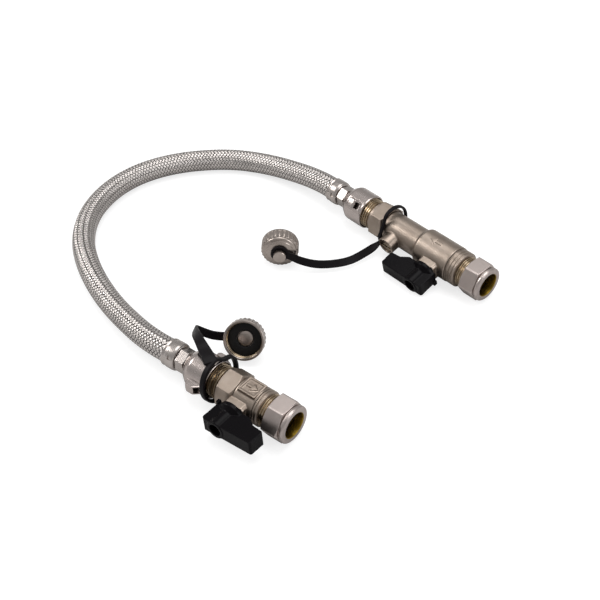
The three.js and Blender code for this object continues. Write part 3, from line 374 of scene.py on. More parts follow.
def carved(name: str, base: Shape, changes: Iterable[tuple[Cut, Shape]]) -> bpy.types.Mesh:
    """A solid after joins and cuts.

    Args:
        name: the mesh's name.
        base: the solid that is changed.
        changes: what is done with which shape, in order.

    Returns:
        The finished mesh, in millimetres.
    """
    work = object_of(base.mesh(name))
    tools = []
    for how, shape in changes:
        tool = object_of(shape.mesh(f"{name}.cut"))
        tools.append(tool)
        change = work.modifiers.new("Cut", "BOOLEAN")
        change.operation, change.object, change.solver = how.value, tool, "MANIFOLD"
    mesh = settled(work)
    for tool in tools:
        bpy.data.objects.remove(tool)
    return mesh


def as_shape(mesh: bpy.types.Mesh) -> Shape:
    """A mesh as a shape again, for more joins and cuts. The mesh is removed."""
    points = np.array([v.co for v in mesh.vertices])
    faces = [tuple(f.vertices) for f in mesh.polygons]
    bpy.data.meshes.remove(mesh)
    return Shape(points, faces)


def cast(mesh: bpy.types.Mesh, voxel: float, rounds: int) -> bpy.types.Mesh:
    """A mesh as it comes out of a mould, with its edges and inner corners rounded.

    Args:
        mesh: the sharp mesh, in millimetres.
        voxel: the size of its new faces.
        rounds: how often it is smoothed.

    Returns:
        The moulded mesh.
    """
    work = object_of(mesh)
    remesh = work.modifiers.new("Mould", "REMESH")
    remesh.mode, remesh.voxel_size, remesh.use_smooth_shade = "VOXEL", voxel, True
    smooth = work.modifiers.new("Soften", "SMOOTH")
    smooth.factor, smooth.iterations = 0.5, rounds
    return settled(work)


class Wiring:
    """A short way to add nodes to a tree and to join them."""

    def __init__(self, tree: bpy.types.NodeTree) -> None:
        """Keeps the tree that nodes are added to."""
        self.tree = tree

    def add(
        self, kind: str, inputs: dict[str | int, object] | None = None, **settings: object
    ) -> bpy.types.Node:
        """A new node.

        Args:
            kind: its type in Blender.
            inputs: a value, or the socket that feeds it, for each input by name or number.
            **settings: its other properties.

        Returns:
            The node.
        """
        node = self.tree.nodes.new(kind)
        for key, value in settings.items():
            setattr(node, key, value)
        for key, value in (inputs or {}).items():
            if isinstance(value, bpy.types.NodeSocket):
                self.tree.links.new(value, node.inputs[key])
            else:
                node.inputs[key].default_value = value
        return node

    def math(self, how: str, *values: object) -> bpy.types.NodeSocket:
        """The result of one sum on sockets or numbers."""
        return self.add("ShaderNodeMath", dict(enumerate(values)), operation=how).outputs[0]

    def mix(self, share: object, first: object, second: object) -> bpy.types.NodeSocket:
        """A colour between two."""
        inputs = {"Factor": share, 6: first, 7: second}
        return self.add("ShaderNodeMix", inputs, data_type="RGBA").outputs[2]

    def spread(self, value: object, low: float, high: float) -> bpy.types.NodeSocket:
        """A value from 0 to 1 spread over another range."""
        inputs = {"Value": value, "To Min": low, "To Max": high}
        return self.add("ShaderNodeMapRange", inputs).outputs[0]


def shader_group(
    name: str, inputs: dict[str, float | None], outputs: Sequence[str]
) -> tuple[bpy.types.NodeTree, Wiring, bpy.types.Node, bpy.types.Node]:
    """An empty shader node group with its sockets.

    Args:
        name: the group's name.
        inputs: each input's default, or None for a vector.
        outputs: the names of its outputs, all values.

    Returns:
        The group, its wiring, and its input and output nodes.
    """
    tree = bpy.data.node_groups.new(name, "ShaderNodeTree")
    for key, value in inputs.items():
        kind = "NodeSocketVector" if value is None else "NodeSocketFloat"
        socket = tree.interface.new_socket(key, in_out="INPUT", socket_type=kind)
        if value is not None:
            socket.default_value = value
    for key in outputs:
        tree.interface.new_socket(key, in_out="OUTPUT", socket_type="NodeSocketFloat")
    wiring = Wiring(tree)
    return tree, wiring, wiring.add("NodeGroupInput"), wiring.add("NodeGroupOutput")


class Effects:
    """The surface effects that several finishes share, each built once."""

    def __init__(self) -> None:
        """Builds the groups."""
        self.grain = self._grain()
        self.turning = self._turning()
        self.handling = self._handling()

    def _grain(self) -> bpy.types.NodeTree:
        """Fine grain of a blasted or moulded surface, with soft clouds over it."""
        inputs = {"Vector": None, "Grain Scale": 4000.0, "Cloud Scale": 90.0}
        tree, wiring, given, out = shader_group("Surface grain", inputs, ["Height", "Cloud"])
        fine = wiring.add("ShaderNodeTexNoise", {
            "Vector": given.outputs["Vector"], "Scale": given.outputs["Grain Scale"],
            "Detail": 3.0, "Roughness": 0.6,
        })
        cloud = wiring.add("ShaderNodeTexNoise", {
            "Vector": given.outputs["Vector"], "Scale": given.outputs["Cloud Scale"],
            "Detail": 4.0, "Roughness": 0.55,
        })
        tree.links.new(fine.outputs["Fac"], out.inputs["Height"])
        tree.links.new(wiring.spread(cloud.outputs["Fac"], -0.4, 1.4), out.inputs["Cloud"])
        return tree

    def _turning(self) -> bpy.types.NodeTree:
        """Fine rings that a lathe tool leaves round the pipe axis."""
        inputs = {"Vector": None, "Rings": 2600.0}
        tree, wiring, given, out = shader_group("Turning marks", inputs, ["Height"])
        parts = wiring.add("ShaderNodeSeparateXYZ", {0: given.outputs["Vector"]})
        y, z = parts.outputs["Y"], parts.outputs["Z"]
        squares = wiring.math("ADD", wiring.math("MULTIPLY", y, y), wiring.math("MULTIPLY", z, z))
        joined = wiring.add("ShaderNodeCombineXYZ", {
            "X": parts.outputs["X"], "Y": wiring.math("SQRT", squares),
        })
        rings = wiring.add("ShaderNodeTexNoise", {
            "Vector": joined.outputs[0], "Scale": given.outputs["Rings"], "Detail": 2.0,
        })
        tree.links.new(rings.outputs["Fac"], out.inputs["Height"])
        return tree

    def _handling(self) -> bpy.types.NodeTree:
        """Short fine scratches, as on fittings that were packed loose."""
        inputs = {"Vector": None, "Scale": 260.0, "Sparseness": 0.62}
        tree, wiring, given, out = shader_group("Handling marks", inputs, ["Mask"])
        bent = wiring.add("ShaderNodeTexNoise", {
            "Vector": given.outputs["Vector"], "Scale": 40.0, "Detail": 1.0,
        })
        stretched = wiring.add("ShaderNodeVectorMath", {
            0: given.outputs["Vector"], 1: (1.0, 9.0, 3.0),
        }, operation="MULTIPLY")
        pushed = wiring.add("ShaderNodeVectorMath", {
            0: bent.outputs["Color"], 1: (0.01, 0.01, 0.01), 2: stretched.outputs[0],
        }, operation="MULTIPLY_ADD")
        lines = wiring.add("ShaderNodeTexNoise", {
            "Vector": pushed.outputs[0], "Scale": given.outputs["Scale"], "Detail": 5.0,
            "Roughness": 0.75,
        })
        over = wiring.math("SUBTRACT", lines.outputs["Fac"], given.outputs["Sparseness"])
        mask = wiring.add("ShaderNodeMath", {0: over, 1: 9.0}, operation="MULTIPLY", use_clamp=True)
        tree.links.new(mask.outputs[0], out.inputs["Mask"])
        return tree


def new_material(name: str) -> tuple[bpy.types.Material, Wiring]:
    """An empty material and its wiring."""
    material = bpy.data.materials.new(name)
    material.use_nodes = True
    material.node_tree.nodes.clear()
    return material, Wiring(material.node_tree)


def close_material(wiring: Wiring, inputs: dict[str | int, object]) -> None:
    """Ends a material in a Principled BSDF with these inputs."""
    surface = wiring.add("ShaderNodeBsdfPrincipled", inputs)
    wiring.add("ShaderNodeOutputMaterial", {"Surface": surface.outputs[0]})


@dataclass(frozen=True)
class MetalFinish:
    """A plated, polished or bare metal."""

    name: str
    colour: Colour
    shade: Colour
    roughness: float
    grain: float = 0.00001
    grain_scale: float = 4000.0
    rings: float = 0.0
    scratches: float = 0.12
    place: Place | None = None

    def material(self, effects: Effects) -> bpy.types.Material:
        """The finish as a material.

        Args:
            effects: the shared groups.

        Returns:
            The material.
        """
        material, wiring = new_material(self.name)
        vector = wiring.add("ShaderNodeTexCoord").outputs["Object"]
        if self.place:
            vector = wiring.add("ShaderNodeMapping", {
                "Vector": vector, "Location": self.place.metres(),
                "Rotation": (math.radians(self.place.roll), 0, math.radians(self.place.heading)),
            }, vector_type="TEXTURE").outputs[0]
        grain = wiring.add("ShaderNodeGroup", {}, node_tree=effects.grain)
        turning = wiring.add("ShaderNodeGroup", {}, node_tree=effects.turning)
        handling = wiring.add("ShaderNodeGroup", {}, node_tree=effects.handling)
        for node in (grain, turning, handling):
            wiring.tree.links.new(vector, node.inputs["Vector"])
        grain.inputs["Grain Scale"].default_value = self.grain_scale
        cloud, marks = grain.outputs["Cloud"], handling.outputs["Mask"]
        worn = wiring.math("MULTIPLY", marks, self.scratches)
        base = wiring.mix(cloud, (*self.colour, 1), (*self.shade, 1))
        bright = tuple(min(1.0, c * 1.25) for c in self.colour)
        rough = wiring.math(
            "ADD", wiring.spread(cloud, self.roughness * 0.85, self.roughness * 1.2),
            wiring.math("MULTIPLY", worn, 0.5),
        )
        first = wiring.add("ShaderNodeBump", {
            "Height": grain.outputs["Height"], "Distance": self.grain, "Strength": 1.0,
        })
        second = wiring.add("ShaderNodeBump", {
            "Height": turning.outputs["Height"], "Distance": max(self.rings, 1e-7),
            "Strength": 1.0 if self.rings else 0.0, "Normal": first.outputs[0],
        })
        close_material(wiring, {
            "Base Color": wiring.mix(worn, base, (*bright, 1)), "Metallic": 1.0,
            "Roughness": rough, "Normal": second.outputs[0],
        })
        return material


@dataclass(frozen=True)
class PolymerFinish:
    """A moulded plastic, rubber or sealing material."""

    name: str
    colour: Colour
    shade: Colour
    roughness: float
    grain: float = 0.00002
    grain_scale: float = 2500.0
    dust: float = 0.15
    gloss: float = 0.5

    def material(self, effects: Effects) -> bpy.types.Material:
        """The finish as a material.

        Args:
            effects: the shared groups.

        Returns:
            The material.
        """
        material, wiring = new_material(self.name)
        vector = wiring.add("ShaderNodeTexCoord").outputs["Object"]
        grain = wiring.add("ShaderNodeGroup", {"Vector": vector}, node_tree=effects.grain)
        handling = wiring.add("ShaderNodeGroup", {"Vector": vector}, node_tree=effects.handling)
        grain.inputs["Grain Scale"].default_value = self.grain_scale
        cloud = grain.outputs["Cloud"]
        base = wiring.mix(cloud, (*self.colour, 1), (*self.shade, 1))
        dusty = wiring.math("MULTIPLY", handling.outputs["Mask"], self.dust)
        pale = tuple(min(1.0, c * 1.6 + 0.03) for c in self.colour)
        bump = wiring.add("ShaderNodeBump", {
            "Height": grain.outputs["Height"], "Distance": self.grain, "Strength": 1.0,
        })
        close_material(wiring, {
            "Base Color": wiring.mix(dusty, base, (*pale, 1)),
            "Roughness": wiring.spread(cloud, self.roughness * 0.85, self.roughness * 1.15),
            "Specular IOR Level": self.gloss, "Normal": bump.outputs[0],
        })
        return material


@dataclass(frozen=True)
class RibbonFinish:
    """Bright wires lying side by side in each ribbon of the braid, with painted shade between them.
    """

    name: str
    colour: Colour
    shade: Colour
    roughness: float
    wires: int = 8

    def material(self, effects: Effects) -> bpy.types.Material:
        """The finish as a material, with painted shade between the wires, at each ribbon's edges and
        where a ribbon dips under another.

        It reads the ribbons' own attributes: across, and lift.

        Args:
            effects: the shared groups.

        Returns:
            The material.
        """
        material, wiring = new_material(self.name)
        across = wiring.add("ShaderNodeAttribute", attribute_name="across").outputs["Fac"]
        turn = wiring.math("MULTIPLY", across, self.wires * math.pi)
        wave = wiring.math("ABSOLUTE", wiring.math("SINE", turn))
        vector = wiring.add("ShaderNodeTexCoord").outputs["Object"]
        grain = wiring.add("ShaderNodeGroup", {"Vector": vector}, node_tree=effects.grain)
        lift = wiring.add("ShaderNodeAttribute", attribute_name="lift").outputs["Fac"]
        raised = wiring.add("ShaderNodeMapRange", {
            "Value": lift, "From Min": -0.45, "From Max": 0.75,
        }).outputs[0]
        edge = wiring.add("ShaderNodeMapRange", {
            "Value": wiring.math("ABSOLUTE", across), "From Min": 0.5, "From Max": 0.36,
        }).outputs[0]
        groove = wiring.math("MULTIPLY", wiring.math("POWER", wave, 0.35), edge)
        clouded = wiring.math("MULTIPLY", groove, wiring.spread(grain.outputs["Cloud"], 0.8, 1.0))
        unshaded_share = wiring.math("MULTIPLY", clouded, raised)
        bump = wiring.add("ShaderNodeBump", {
            "Height": wave, "Distance": 0.00003, "Strength": 1.0,
        })
        # Painted shade: the wires' colour turns to the dark shade colour between the wires, at the
        # ribbons' edges and where a ribbon dips under another.
        close_material(wiring, {
            "Base Color": wiring.mix(unshaded_share, (*self.shade, 1), (*self.colour, 1)),
            "Metallic": 1.0, "Roughness": self.roughness, "Normal": bump.outputs[0],
        })
        return material


class Finishes:
    """All of the part's materials."""

    def __init__(self) -> None:
        """Builds the shared effects and each finish."""
        effects = Effects()

        def made(finish: MetalFinish | PolymerFinish | RibbonFinish) -> bpy.types.Material:
            """The finish with the shared effects."""
            return finish.material(effects)

        def pair(name: str, *values: object, **more: object) -> dict[Place, bpy.types.Material]:
            """The same metal for both valves, each with its rings round its own axis."""
            return {
                place: made(MetalFinish(f"{name}.{side}", *values, place=place, **more))
                for side, place in (("near", NEAR_PLACE), ("far", FAR_PLACE))
            }

        self.casting = pair(
            "Blasted nickel", (0.385, 0.322, 0.272), (0.245, 0.198, 0.162), 0.36,
            grain=0.00008, grain_scale=1700.0, scratches=0.25,
        )
        self.nut = pair(
            "Bright nickel", (0.50, 0.437, 0.41), (0.40, 0.345, 0.322), 0.33,
            grain=0.00002, grain_scale=2400.0, rings=0.000012, scratches=0.25,
        )
        self.swivel = pair(
            "Swivel nickel", (0.54, 0.48, 0.455), (0.43, 0.375, 0.352), 0.22,
            grain=0.000012, grain_scale=3000.0, scratches=0.25,
        )
        self.thread = pair(
            "Thread nickel", (0.50, 0.415, 0.31), (0.26, 0.195, 0.125), 0.26, rings=0.00001,
        )
        self.socket = pair(
            "Bare brass", (0.33, 0.22, 0.03), (0.19, 0.125, 0.017), 0.34, rings=0.00004,
            scratches=0.3,
        )
        self.steel = pair(
            "Polished steel", (0.53, 0.485, 0.46), (0.42, 0.38, 0.355), 0.25,
            grain=0.000006, rings=0.000006, scratches=0.3,
        )
        self.cap = made(MetalFinish(
            "Cap nickel", (0.43, 0.375, 0.34), (0.33, 0.285, 0.255), 0.3,
            grain=0.00002, grain_scale=2600.0, scratches=0.3,
        ))
        self.spring = made(MetalFinish("Spring steel", (0.4, 0.4, 0.4), (0.3, 0.3, 0.3), 0.3))
        self.ball = made(MetalFinish("Ball plating", (0.6, 0.58, 0.56), (0.5, 0.48, 0.46), 0.12))
        # The braid's wires; the dark second colour is the painted shade between wires and where
        # ribbons dip.
        self.ribbon = made(RibbonFinish(
            "Braid wire", (0.78, 0.73, 0.70), (0.035, 0.032, 0.03), 0.27,
        ))
        # A dark sheet under the ribbons: painted shade that shows through the gaps of the braid.
        self.under = made(PolymerFinish(
            "Braid shadow", (0.02, 0.019, 0.018), (0.013, 0.012, 0.012), 0.6,
        ))
        self.handle = made(PolymerFinish(
            "Handle plastic", (0.0036, 0.0028, 0.0036), (0.0022, 0.0018, 0.0024), 0.26,
            grain=0.00003, grain_scale=1400.0, dust=0.08, gloss=0.07,
        ))
        self.strap = made(PolymerFinish(
            "Strap rubber", (0.0062, 0.0048, 0.0058), (0.004, 0.003, 0.0037), 0.42,
            grain=0.00004, grain_scale=1800.0, dust=0.12, gloss=0.1,
        ))
        self.seal = made(PolymerFinish(
            "Seal rubber", (0.013, 0.012, 0.012), (0.008, 0.008, 0.008), 0.4,
            grain=0.00003, gloss=0.2,
        ))
        self.ptfe = made(PolymerFinish(
            "White sealing ring", (0.78, 0.77, 0.73), (0.7, 0.69, 0.65), 0.4,
        ))
        self.cage = made(PolymerFinish(
            "Cartridge plastic", (0.66, 0.64, 0.59), (0.58, 0.56, 0.5), 0.45,
        ))


Paint = Callable[[np.ndarray, np.ndarray], int]


def placed(
    mesh: bpy.types.Mesh,
    matrix: Matrix,
    body: Body,
    nodes: Sequence[str],
    materials: Sequence[bpy.types.Material],
    paint: Paint | None = None,
) -> bpy.types.Object:
    """A finished piece in the row frame, riding on its body.

    Args:
        mesh: the piece in its own millimetres, named as the piece.
        matrix: its own millimetres to the row frame.
        body: the body that it moves with.
        nodes: the CAD nodes that it stands for.
        materials: its main material, and those that paint picks.
        paint: the number of the material for a face's centre and normal.

    Returns:
        The object.
    """
    mesh.materials.clear()
    for material in materials:
        mesh.materials.append(material)
    for face in mesh.polygons:
        if paint is not None:
            face.material_index = int(paint(np.array(face.center), np.array(face.normal)))
    mesh.transform(matrix)
    mesh.shade_smooth()
    mesh.set_sharp_from_angle(angle=SHARP_ANGLE)
    piece = object_of(mesh)
    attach(piece, body.value)
    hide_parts(*nodes)
    log.info("%s: %d faces, on %s", piece.name, len(mesh.polygons), body.value)
    return piece


def in_bore(radius: float) -> Paint:
    """Faces that look at the pipe axis from inside a radius."""

    def paint(centre: np.ndarray, normal: np.ndarray) -> bool:
        """True for a face of the bore."""
        away = math.hypot(centre[1], centre[2])
        outward = centre[1] * normal[1] + centre[2] * normal[2]
        return bool(away < radius and outward < BORE_FACING * away)

    return paint


def at_station(low: float, high: float) -> Paint:
    """Faces between two distances along t."""
    return lambda centre, normal: bool(low < -centre[0] < high)


@dataclass
class CompressionEnd:
    """Nut of a 15 mm compression end and the threaded socket that it screws on."""

    prefix: str
    place: Place
    nut_turn: float
    flange: tuple[float, float, float]
    stem: float
    bore: float = 7.7
    thread: float = 10.3
    pitch: float = 1.5
    collar: float = 11.5
    groove: float = 10.9
    hexagon_start: float = 2.85
    length: float = 14.0

    def nut(self, finishes: Finishes) -> None:
        """Chamfered hexagon with its round collar and the cone for the olive."""
        hexagon = Hexagon(SPANNER_FLATS, self.nut_turn, fillet=1.3)
        start, end, out = self.hexagon_start, self.length, self.collar
        inside = self.thread + 0.3
        rows = [
            (7.6, inside), (5.2, self.bore), (0.7, self.bore), (0.25, 7.9), (0.0, 8.25),
            (0.0, out - 0.75), (0.12, out - 0.45), (0.42, out - 0.15), (0.8, out),
            (start - 0.75, out), (start - 0.55, out - 0.1), (start - 0.45, self.groove),
            (start - 0.1, self.groove), *hexagon.rows(start, end, (0.9, 0.8)), (end, inside),
        ]
        mesh = revolve(rows, hexagon.angles()).mesh(f"{self.prefix}_nut_skin")
        placed(
            mesh, self.place.matrix(), Body.LOOP, [f"{self.prefix}_compression_nut"],
            [finishes.nut[self.place], finishes.socket[self.place]],
            in_bore(8.2),
        )

    def socket(self, finishes: Finishes) -> None:
        """Threaded pipe socket with the flange's bright rings."""
        start, end, radius = self.flange
        angles = circle()
        grooves = []
        for t in np.arange(start + 1.3, end - 1.0, 2.2):
            grooves += [
                (t, radius), (t + 0.25, radius - 0.4), (t + 0.65, radius - 0.4), (t + 0.9, radius),
            ]
        spigot = self.stem - CHAMBER_DEPTH
        rows = [
            (9.6, 9.75), *thread_rows(9.8, start - 0.7, self.thread, THREAD_ROOT, self.pitch),
            (start - 0.6, 9.9), (start - 0.3, radius - 1.2), (start, radius - 0.35),
            (start + 0.35, radius), *grooves, (end - 0.2, radius), (end, radius - 0.2),
            (end, 8.1), (spigot, 8.1), (spigot, 4.6), (end - 1.8, 4.6), (end - 1.8, self.bore),
            (12.0, self.bore),
        ]
        mesh = revolve(rows, angles).mesh(f"{self.prefix}_socket_skin")
        bored, threaded = in_bore(8.2), at_station(9, start - 0.5)

        def paint(centre: np.ndarray, normal: np.ndarray) -> int:
            """Brass in the bore, thread plating on the thread."""
            return 1 if bored(centre, normal) else 2 * threaded(centre, normal)

        kinds = (finishes.casting, finishes.socket, finishes.thread)
        placed(
            mesh, self.place.matrix(), Body.LOOP, [f"{self.prefix}_compression_insert"],
            [kind[self.place] for kind in kinds], paint,
        )


def stem_boss(stem: float, top: float) -> list[tuple[Cut, Shape]]:
    """The square boss with rounded corners that carries the stem, as a change to a body."""
    turned = lathe([(0, 0), (0, BOSS_RADIUS), (top, BOSS_RADIUS), (top, 0)], 0.5).on_stem()
    square = block((-BOSS_HALF, BOSS_HALF), (-top - 1, 1), (-BOSS_HALF, BOSS_HALF))
    boss = as_shape(carved("boss", turned, [(Cut.KEEP, square)]))
    return [(Cut.JOIN, boss.shifted(x=-stem))]


def valve_bores(stem: float, flange_end: float, top: float) -> list[tuple[Cut, Shape]]:
    """Ball chamber and stem bore of a body."""
    start, end = flange_end - 1, stem + CHAMBER_DEPTH
    chamber = lathe([(start, 0), (start, CHAMBER), (end, CHAMBER), (end, 0)], 0.2)
    depth, radius = GLAND
    gland = lathe([
        (0, 0), (0, radius), (depth, radius), (depth, STEM_BORE), (top + 1, STEM_BORE),
        (top + 1, 0),
    ], 0.1, 48)
    return [(Cut.REMOVE, chamber), (Cut.REMOVE, gland.on_stem().shifted(x=-stem))]


def flow_arrow(centre: float, length: float, radius: float, to_pipe: bool) -> Shape:
    """A plain raised arrow on top of a round body."""
    tip = length / 2
    way = 1 if to_pipe else -1
    outline = [
        (-tip, -0.9), (0.2, -0.9), (0.2, -2.5), (tip, 0), (0.2, 2.5), (0.2, 0.9), (-tip, 0.9),
    ]
    flat = [(x * way - centre, y) for x, y in outline]
    return prism(flat, radius - 1.6, radius + 0.5)


@dataclass
class NearBody:
    """Isolating valve's body: casting with its boss, and the machined hexagon with its thread."""

    place: Place = NEAR_PLACE
    stem: float = 32
    boss_top: float = 13.4
    radius: float = 11
    thread_end: float = 64.5
    hexagon: Hexagon = field(default_factory=lambda: Hexagon(22.2, -10, fillet=0.8))

    def casting(self, finishes: Finishes) -> None:
        """Round casting with the raised frame on top, its flow arrow and the stem's boss."""
        shell = lathe([(22.3, 0), (22.3, self.radius), (36.9, self.radius), (36.9, 0)], 0.5)
        pad = block((-35.4, -23.3), (-5.8, 5.8), (0, self.radius + 0.45))
        tray = block((-34.2, -24.5), (-4.5, 4.5), (self.radius - 0.35, self.radius + 3))
        waterway = lathe([
            (self.stem, 0), (self.stem, WATERWAY), (38, WATERWAY), (38, 0),
        ], 0.1)
        mesh = carved("isolating_body_casting", shell, [
            (Cut.JOIN, pad), (Cut.REMOVE, tray),
            (Cut.JOIN, flow_arrow(29.35, 7.5, self.radius, True)),
            *stem_boss(self.stem, self.boss_top), (Cut.REMOVE, waterway),
            *valve_bores(self.stem, 22, self.boss_top),
        ])
        placed(
            cast(mesh, 0.24, 3), self.place.matrix(), Body.LOOP, ["isolating_body"],
            [finishes.casting[self.place]],
        )

    def thread(self, finishes: Finishes) -> None:
        """Hexagon and male thread, bored through."""
        angles = self.hexagon.angles()
        rows = [
            (37.0, WATERWAY), *self.hexagon.rows(37.0, 48.3, (1.2, 1.2)), (48.4, 10.2),
            *thread_rows(48.6, 64.3, THREAD_CREST, THREAD_ROOT, THREAD_PITCH),
            (self.thread_end, THREAD_ROOT), (self.thread_end, WATERWAY),
        ]
        mesh = revolve(rows, angles).mesh("isolating_body_thread")
        placed(
            mesh, self.place.matrix(), Body.LOOP, ["isolating_body"],
            [finishes.casting[self.place], finishes.thread[self.place]], at_station(48.45, 65),
        )


@dataclass
class FarBody:
    """Check valve's body with its test point, and the adapter that takes the hose."""

    place: Place = FAR_PLACE
    stem: float = 39
    boss_top: float = 14.9
    radius: float = 12.4
    test_point: float = 74
    thread_end: float = 112
    hexagon: Hexagon = field(default_factory=lambda: Hexagon(SPANNER_FLATS, 35, fillet=0.8))

    def casting(self, finishes: Finishes) -> None:
        """Stepped casting with boss, flow arrow and test stub, hollow for ball and cartridge."""
        shell = lathe([
            (26.8, 0), (26.8, self.radius), (53, self.radius), (53.9, 11.9), (55.2, 10.2),
            (83.6, 10.2), (83.6, 0),
        ], 0.5)
        stub = lathe([(0, 0), (0, 6.3), (16.4, 6.3), (16.4, 0)], 0.4).on_stem()
        stub_bore = lathe([
            (0, 0), (0, 2.5), (11.1, 2.5), (11.1, 4.9), (17.4, 4.9), (17.4, 0),
        ], 0.1)
        waterway = lathe([
            (self.stem, 0), (self.stem, WATERWAY), (49.5, WATERWAY), (49.5, CHAMBER),
            (84.6, CHAMBER), (84.6, 0),
        ], 0.1)
        mesh = carved("check_body_casting", shell, [
            *stem_boss(self.stem, self.boss_top), (Cut.JOIN, stub.shifted(x=-self.test_point)),
            (Cut.JOIN, flow_arrow(42, 9, self.radius, False)),
            (Cut.REMOVE, waterway), *valve_bores(self.stem, 26.5, self.boss_top),
            (Cut.REMOVE, stub_bore.on_stem().shifted(x=-self.test_point)),
        ])
        placed(
            cast(mesh, 0.28, 3), self.place.matrix(), Body.LOOP, ["check_body"],
            [finishes.casting[self.place]],
        )

    def adapter(self, finishes: Finishes) -> None:
        """Hexagon, plain ring and male thread, with the second cartridge's bore."""
        angles = self.hexagon.angles()
        rows = [
            (79.0, 5.6), (79.0, 8.1), (83.9, 8.1), *self.hexagon.rows(84, 94.6, (1.2, 1.2)),
            (94.75, 10.3), (96.7, 10.3), (97, 10.05),
            *thread_rows(97.2, 111.8, THREAD_CREST, THREAD_ROOT, THREAD_PITCH),
            (self.thread_end, THREAD_ROOT), (self.thread_end, CHAMBER), (86.0, CHAMBER),
            (86.0, 5.6),
        ]
        mesh = revolve(rows, angles).mesh("check_adapter_skin")
        placed(
            mesh, self.place.matrix(), Body.LOOP, ["check_adapter"],
            [finishes.casting[self.place], finishes.thread[self.place]], at_station(97.1, 113),
        )

    def plug(self, finishes: Finishes) -> None:
        """Slotted plug of the test point."""
        body = lathe([(11.4, 0), (11.4, 4.6), (15.8, 4.6), (15.8, 0)], 0.35).on_stem()
        slot = block((-6, 6), (-17, -14.5), (-0.6, 0.6))
        mesh = carved("check_test_plug_skin", body, [(Cut.REMOVE, slot)])
        mesh.transform(Matrix.Translation((-self.test_point, 0, 0)))
        placed(
            mesh, self.place.matrix(), Body.LOOP, ["check_test_plug"],
            [finishes.thread[self.place]],
        )


@dataclass
class Lever:
    """Black lever with a hub over the stem and a deep round recess for its screw."""

    prefix: str
    place: Place
    stem: float
    boss_top: float
    turn: float
    body: Body
    thickness: float = 9.3
    height: float = 15.3

    def outline(self) -> list[tuple[float, float]]:
        """Side view in x and y, from the heel along the long arm."""
        top = self.height
        drawn = [
            (-8.8, 0.6), (13.0, 0.6), (18.2, 4.2), (24.6, 4.8), (25.5, 5.6), (25.0, top - 0.8),
            (24.2, top), (-8.2, top), (-9.2, top - 1),
        ]
        return [(a, -h) for a, h in drawn]

    def build(self, finishes: Finishes) -> None:
        """Bar, hub and skirt in one moulding."""
        bar = prism(self.outline(), -self.thickness / 2, self.thickness / 2)
        top = self.height + 0.4
        hub = lathe([(0.4, 0), (0.4, 8.6), (3, 8.6), (5.2, 5.7), (top, 5.7), (top, 0)], 0.5)
        socket = block((-3.3, 3.3), (-6.5, 1), (-2.7, 2.7))
        bore = lathe([
            (6, 0), (6, 1.7), (8.3, 1.7), (8.3, 3.8), (top + 1, 3.8), (top + 1, 0),
        ], 0.05, 48)
        nub = block((-9.6, -7.6), (-3, -0.4), (3, self.thickness / 2 + 1.6))
        mesh = carved(f"{self.prefix}_lever", bar, [
            (Cut.JOIN, hub.on_stem()), (Cut.JOIN, nub), (Cut.REMOVE, socket),
            (Cut.REMOVE, bore.on_stem()),
        ])
        moulded = cast(mesh, 0.24, 3)
        moulded.transform(
            Matrix.Translation((-self.stem, -self.boss_top, 0))
            @ Matrix.Rotation(math.radians(self.turn), 4, "Y")
        )
        placed(
            moulded, self.place.matrix(), self.body, [f"{self.prefix}_handle"],
            [finishes.handle],
        )


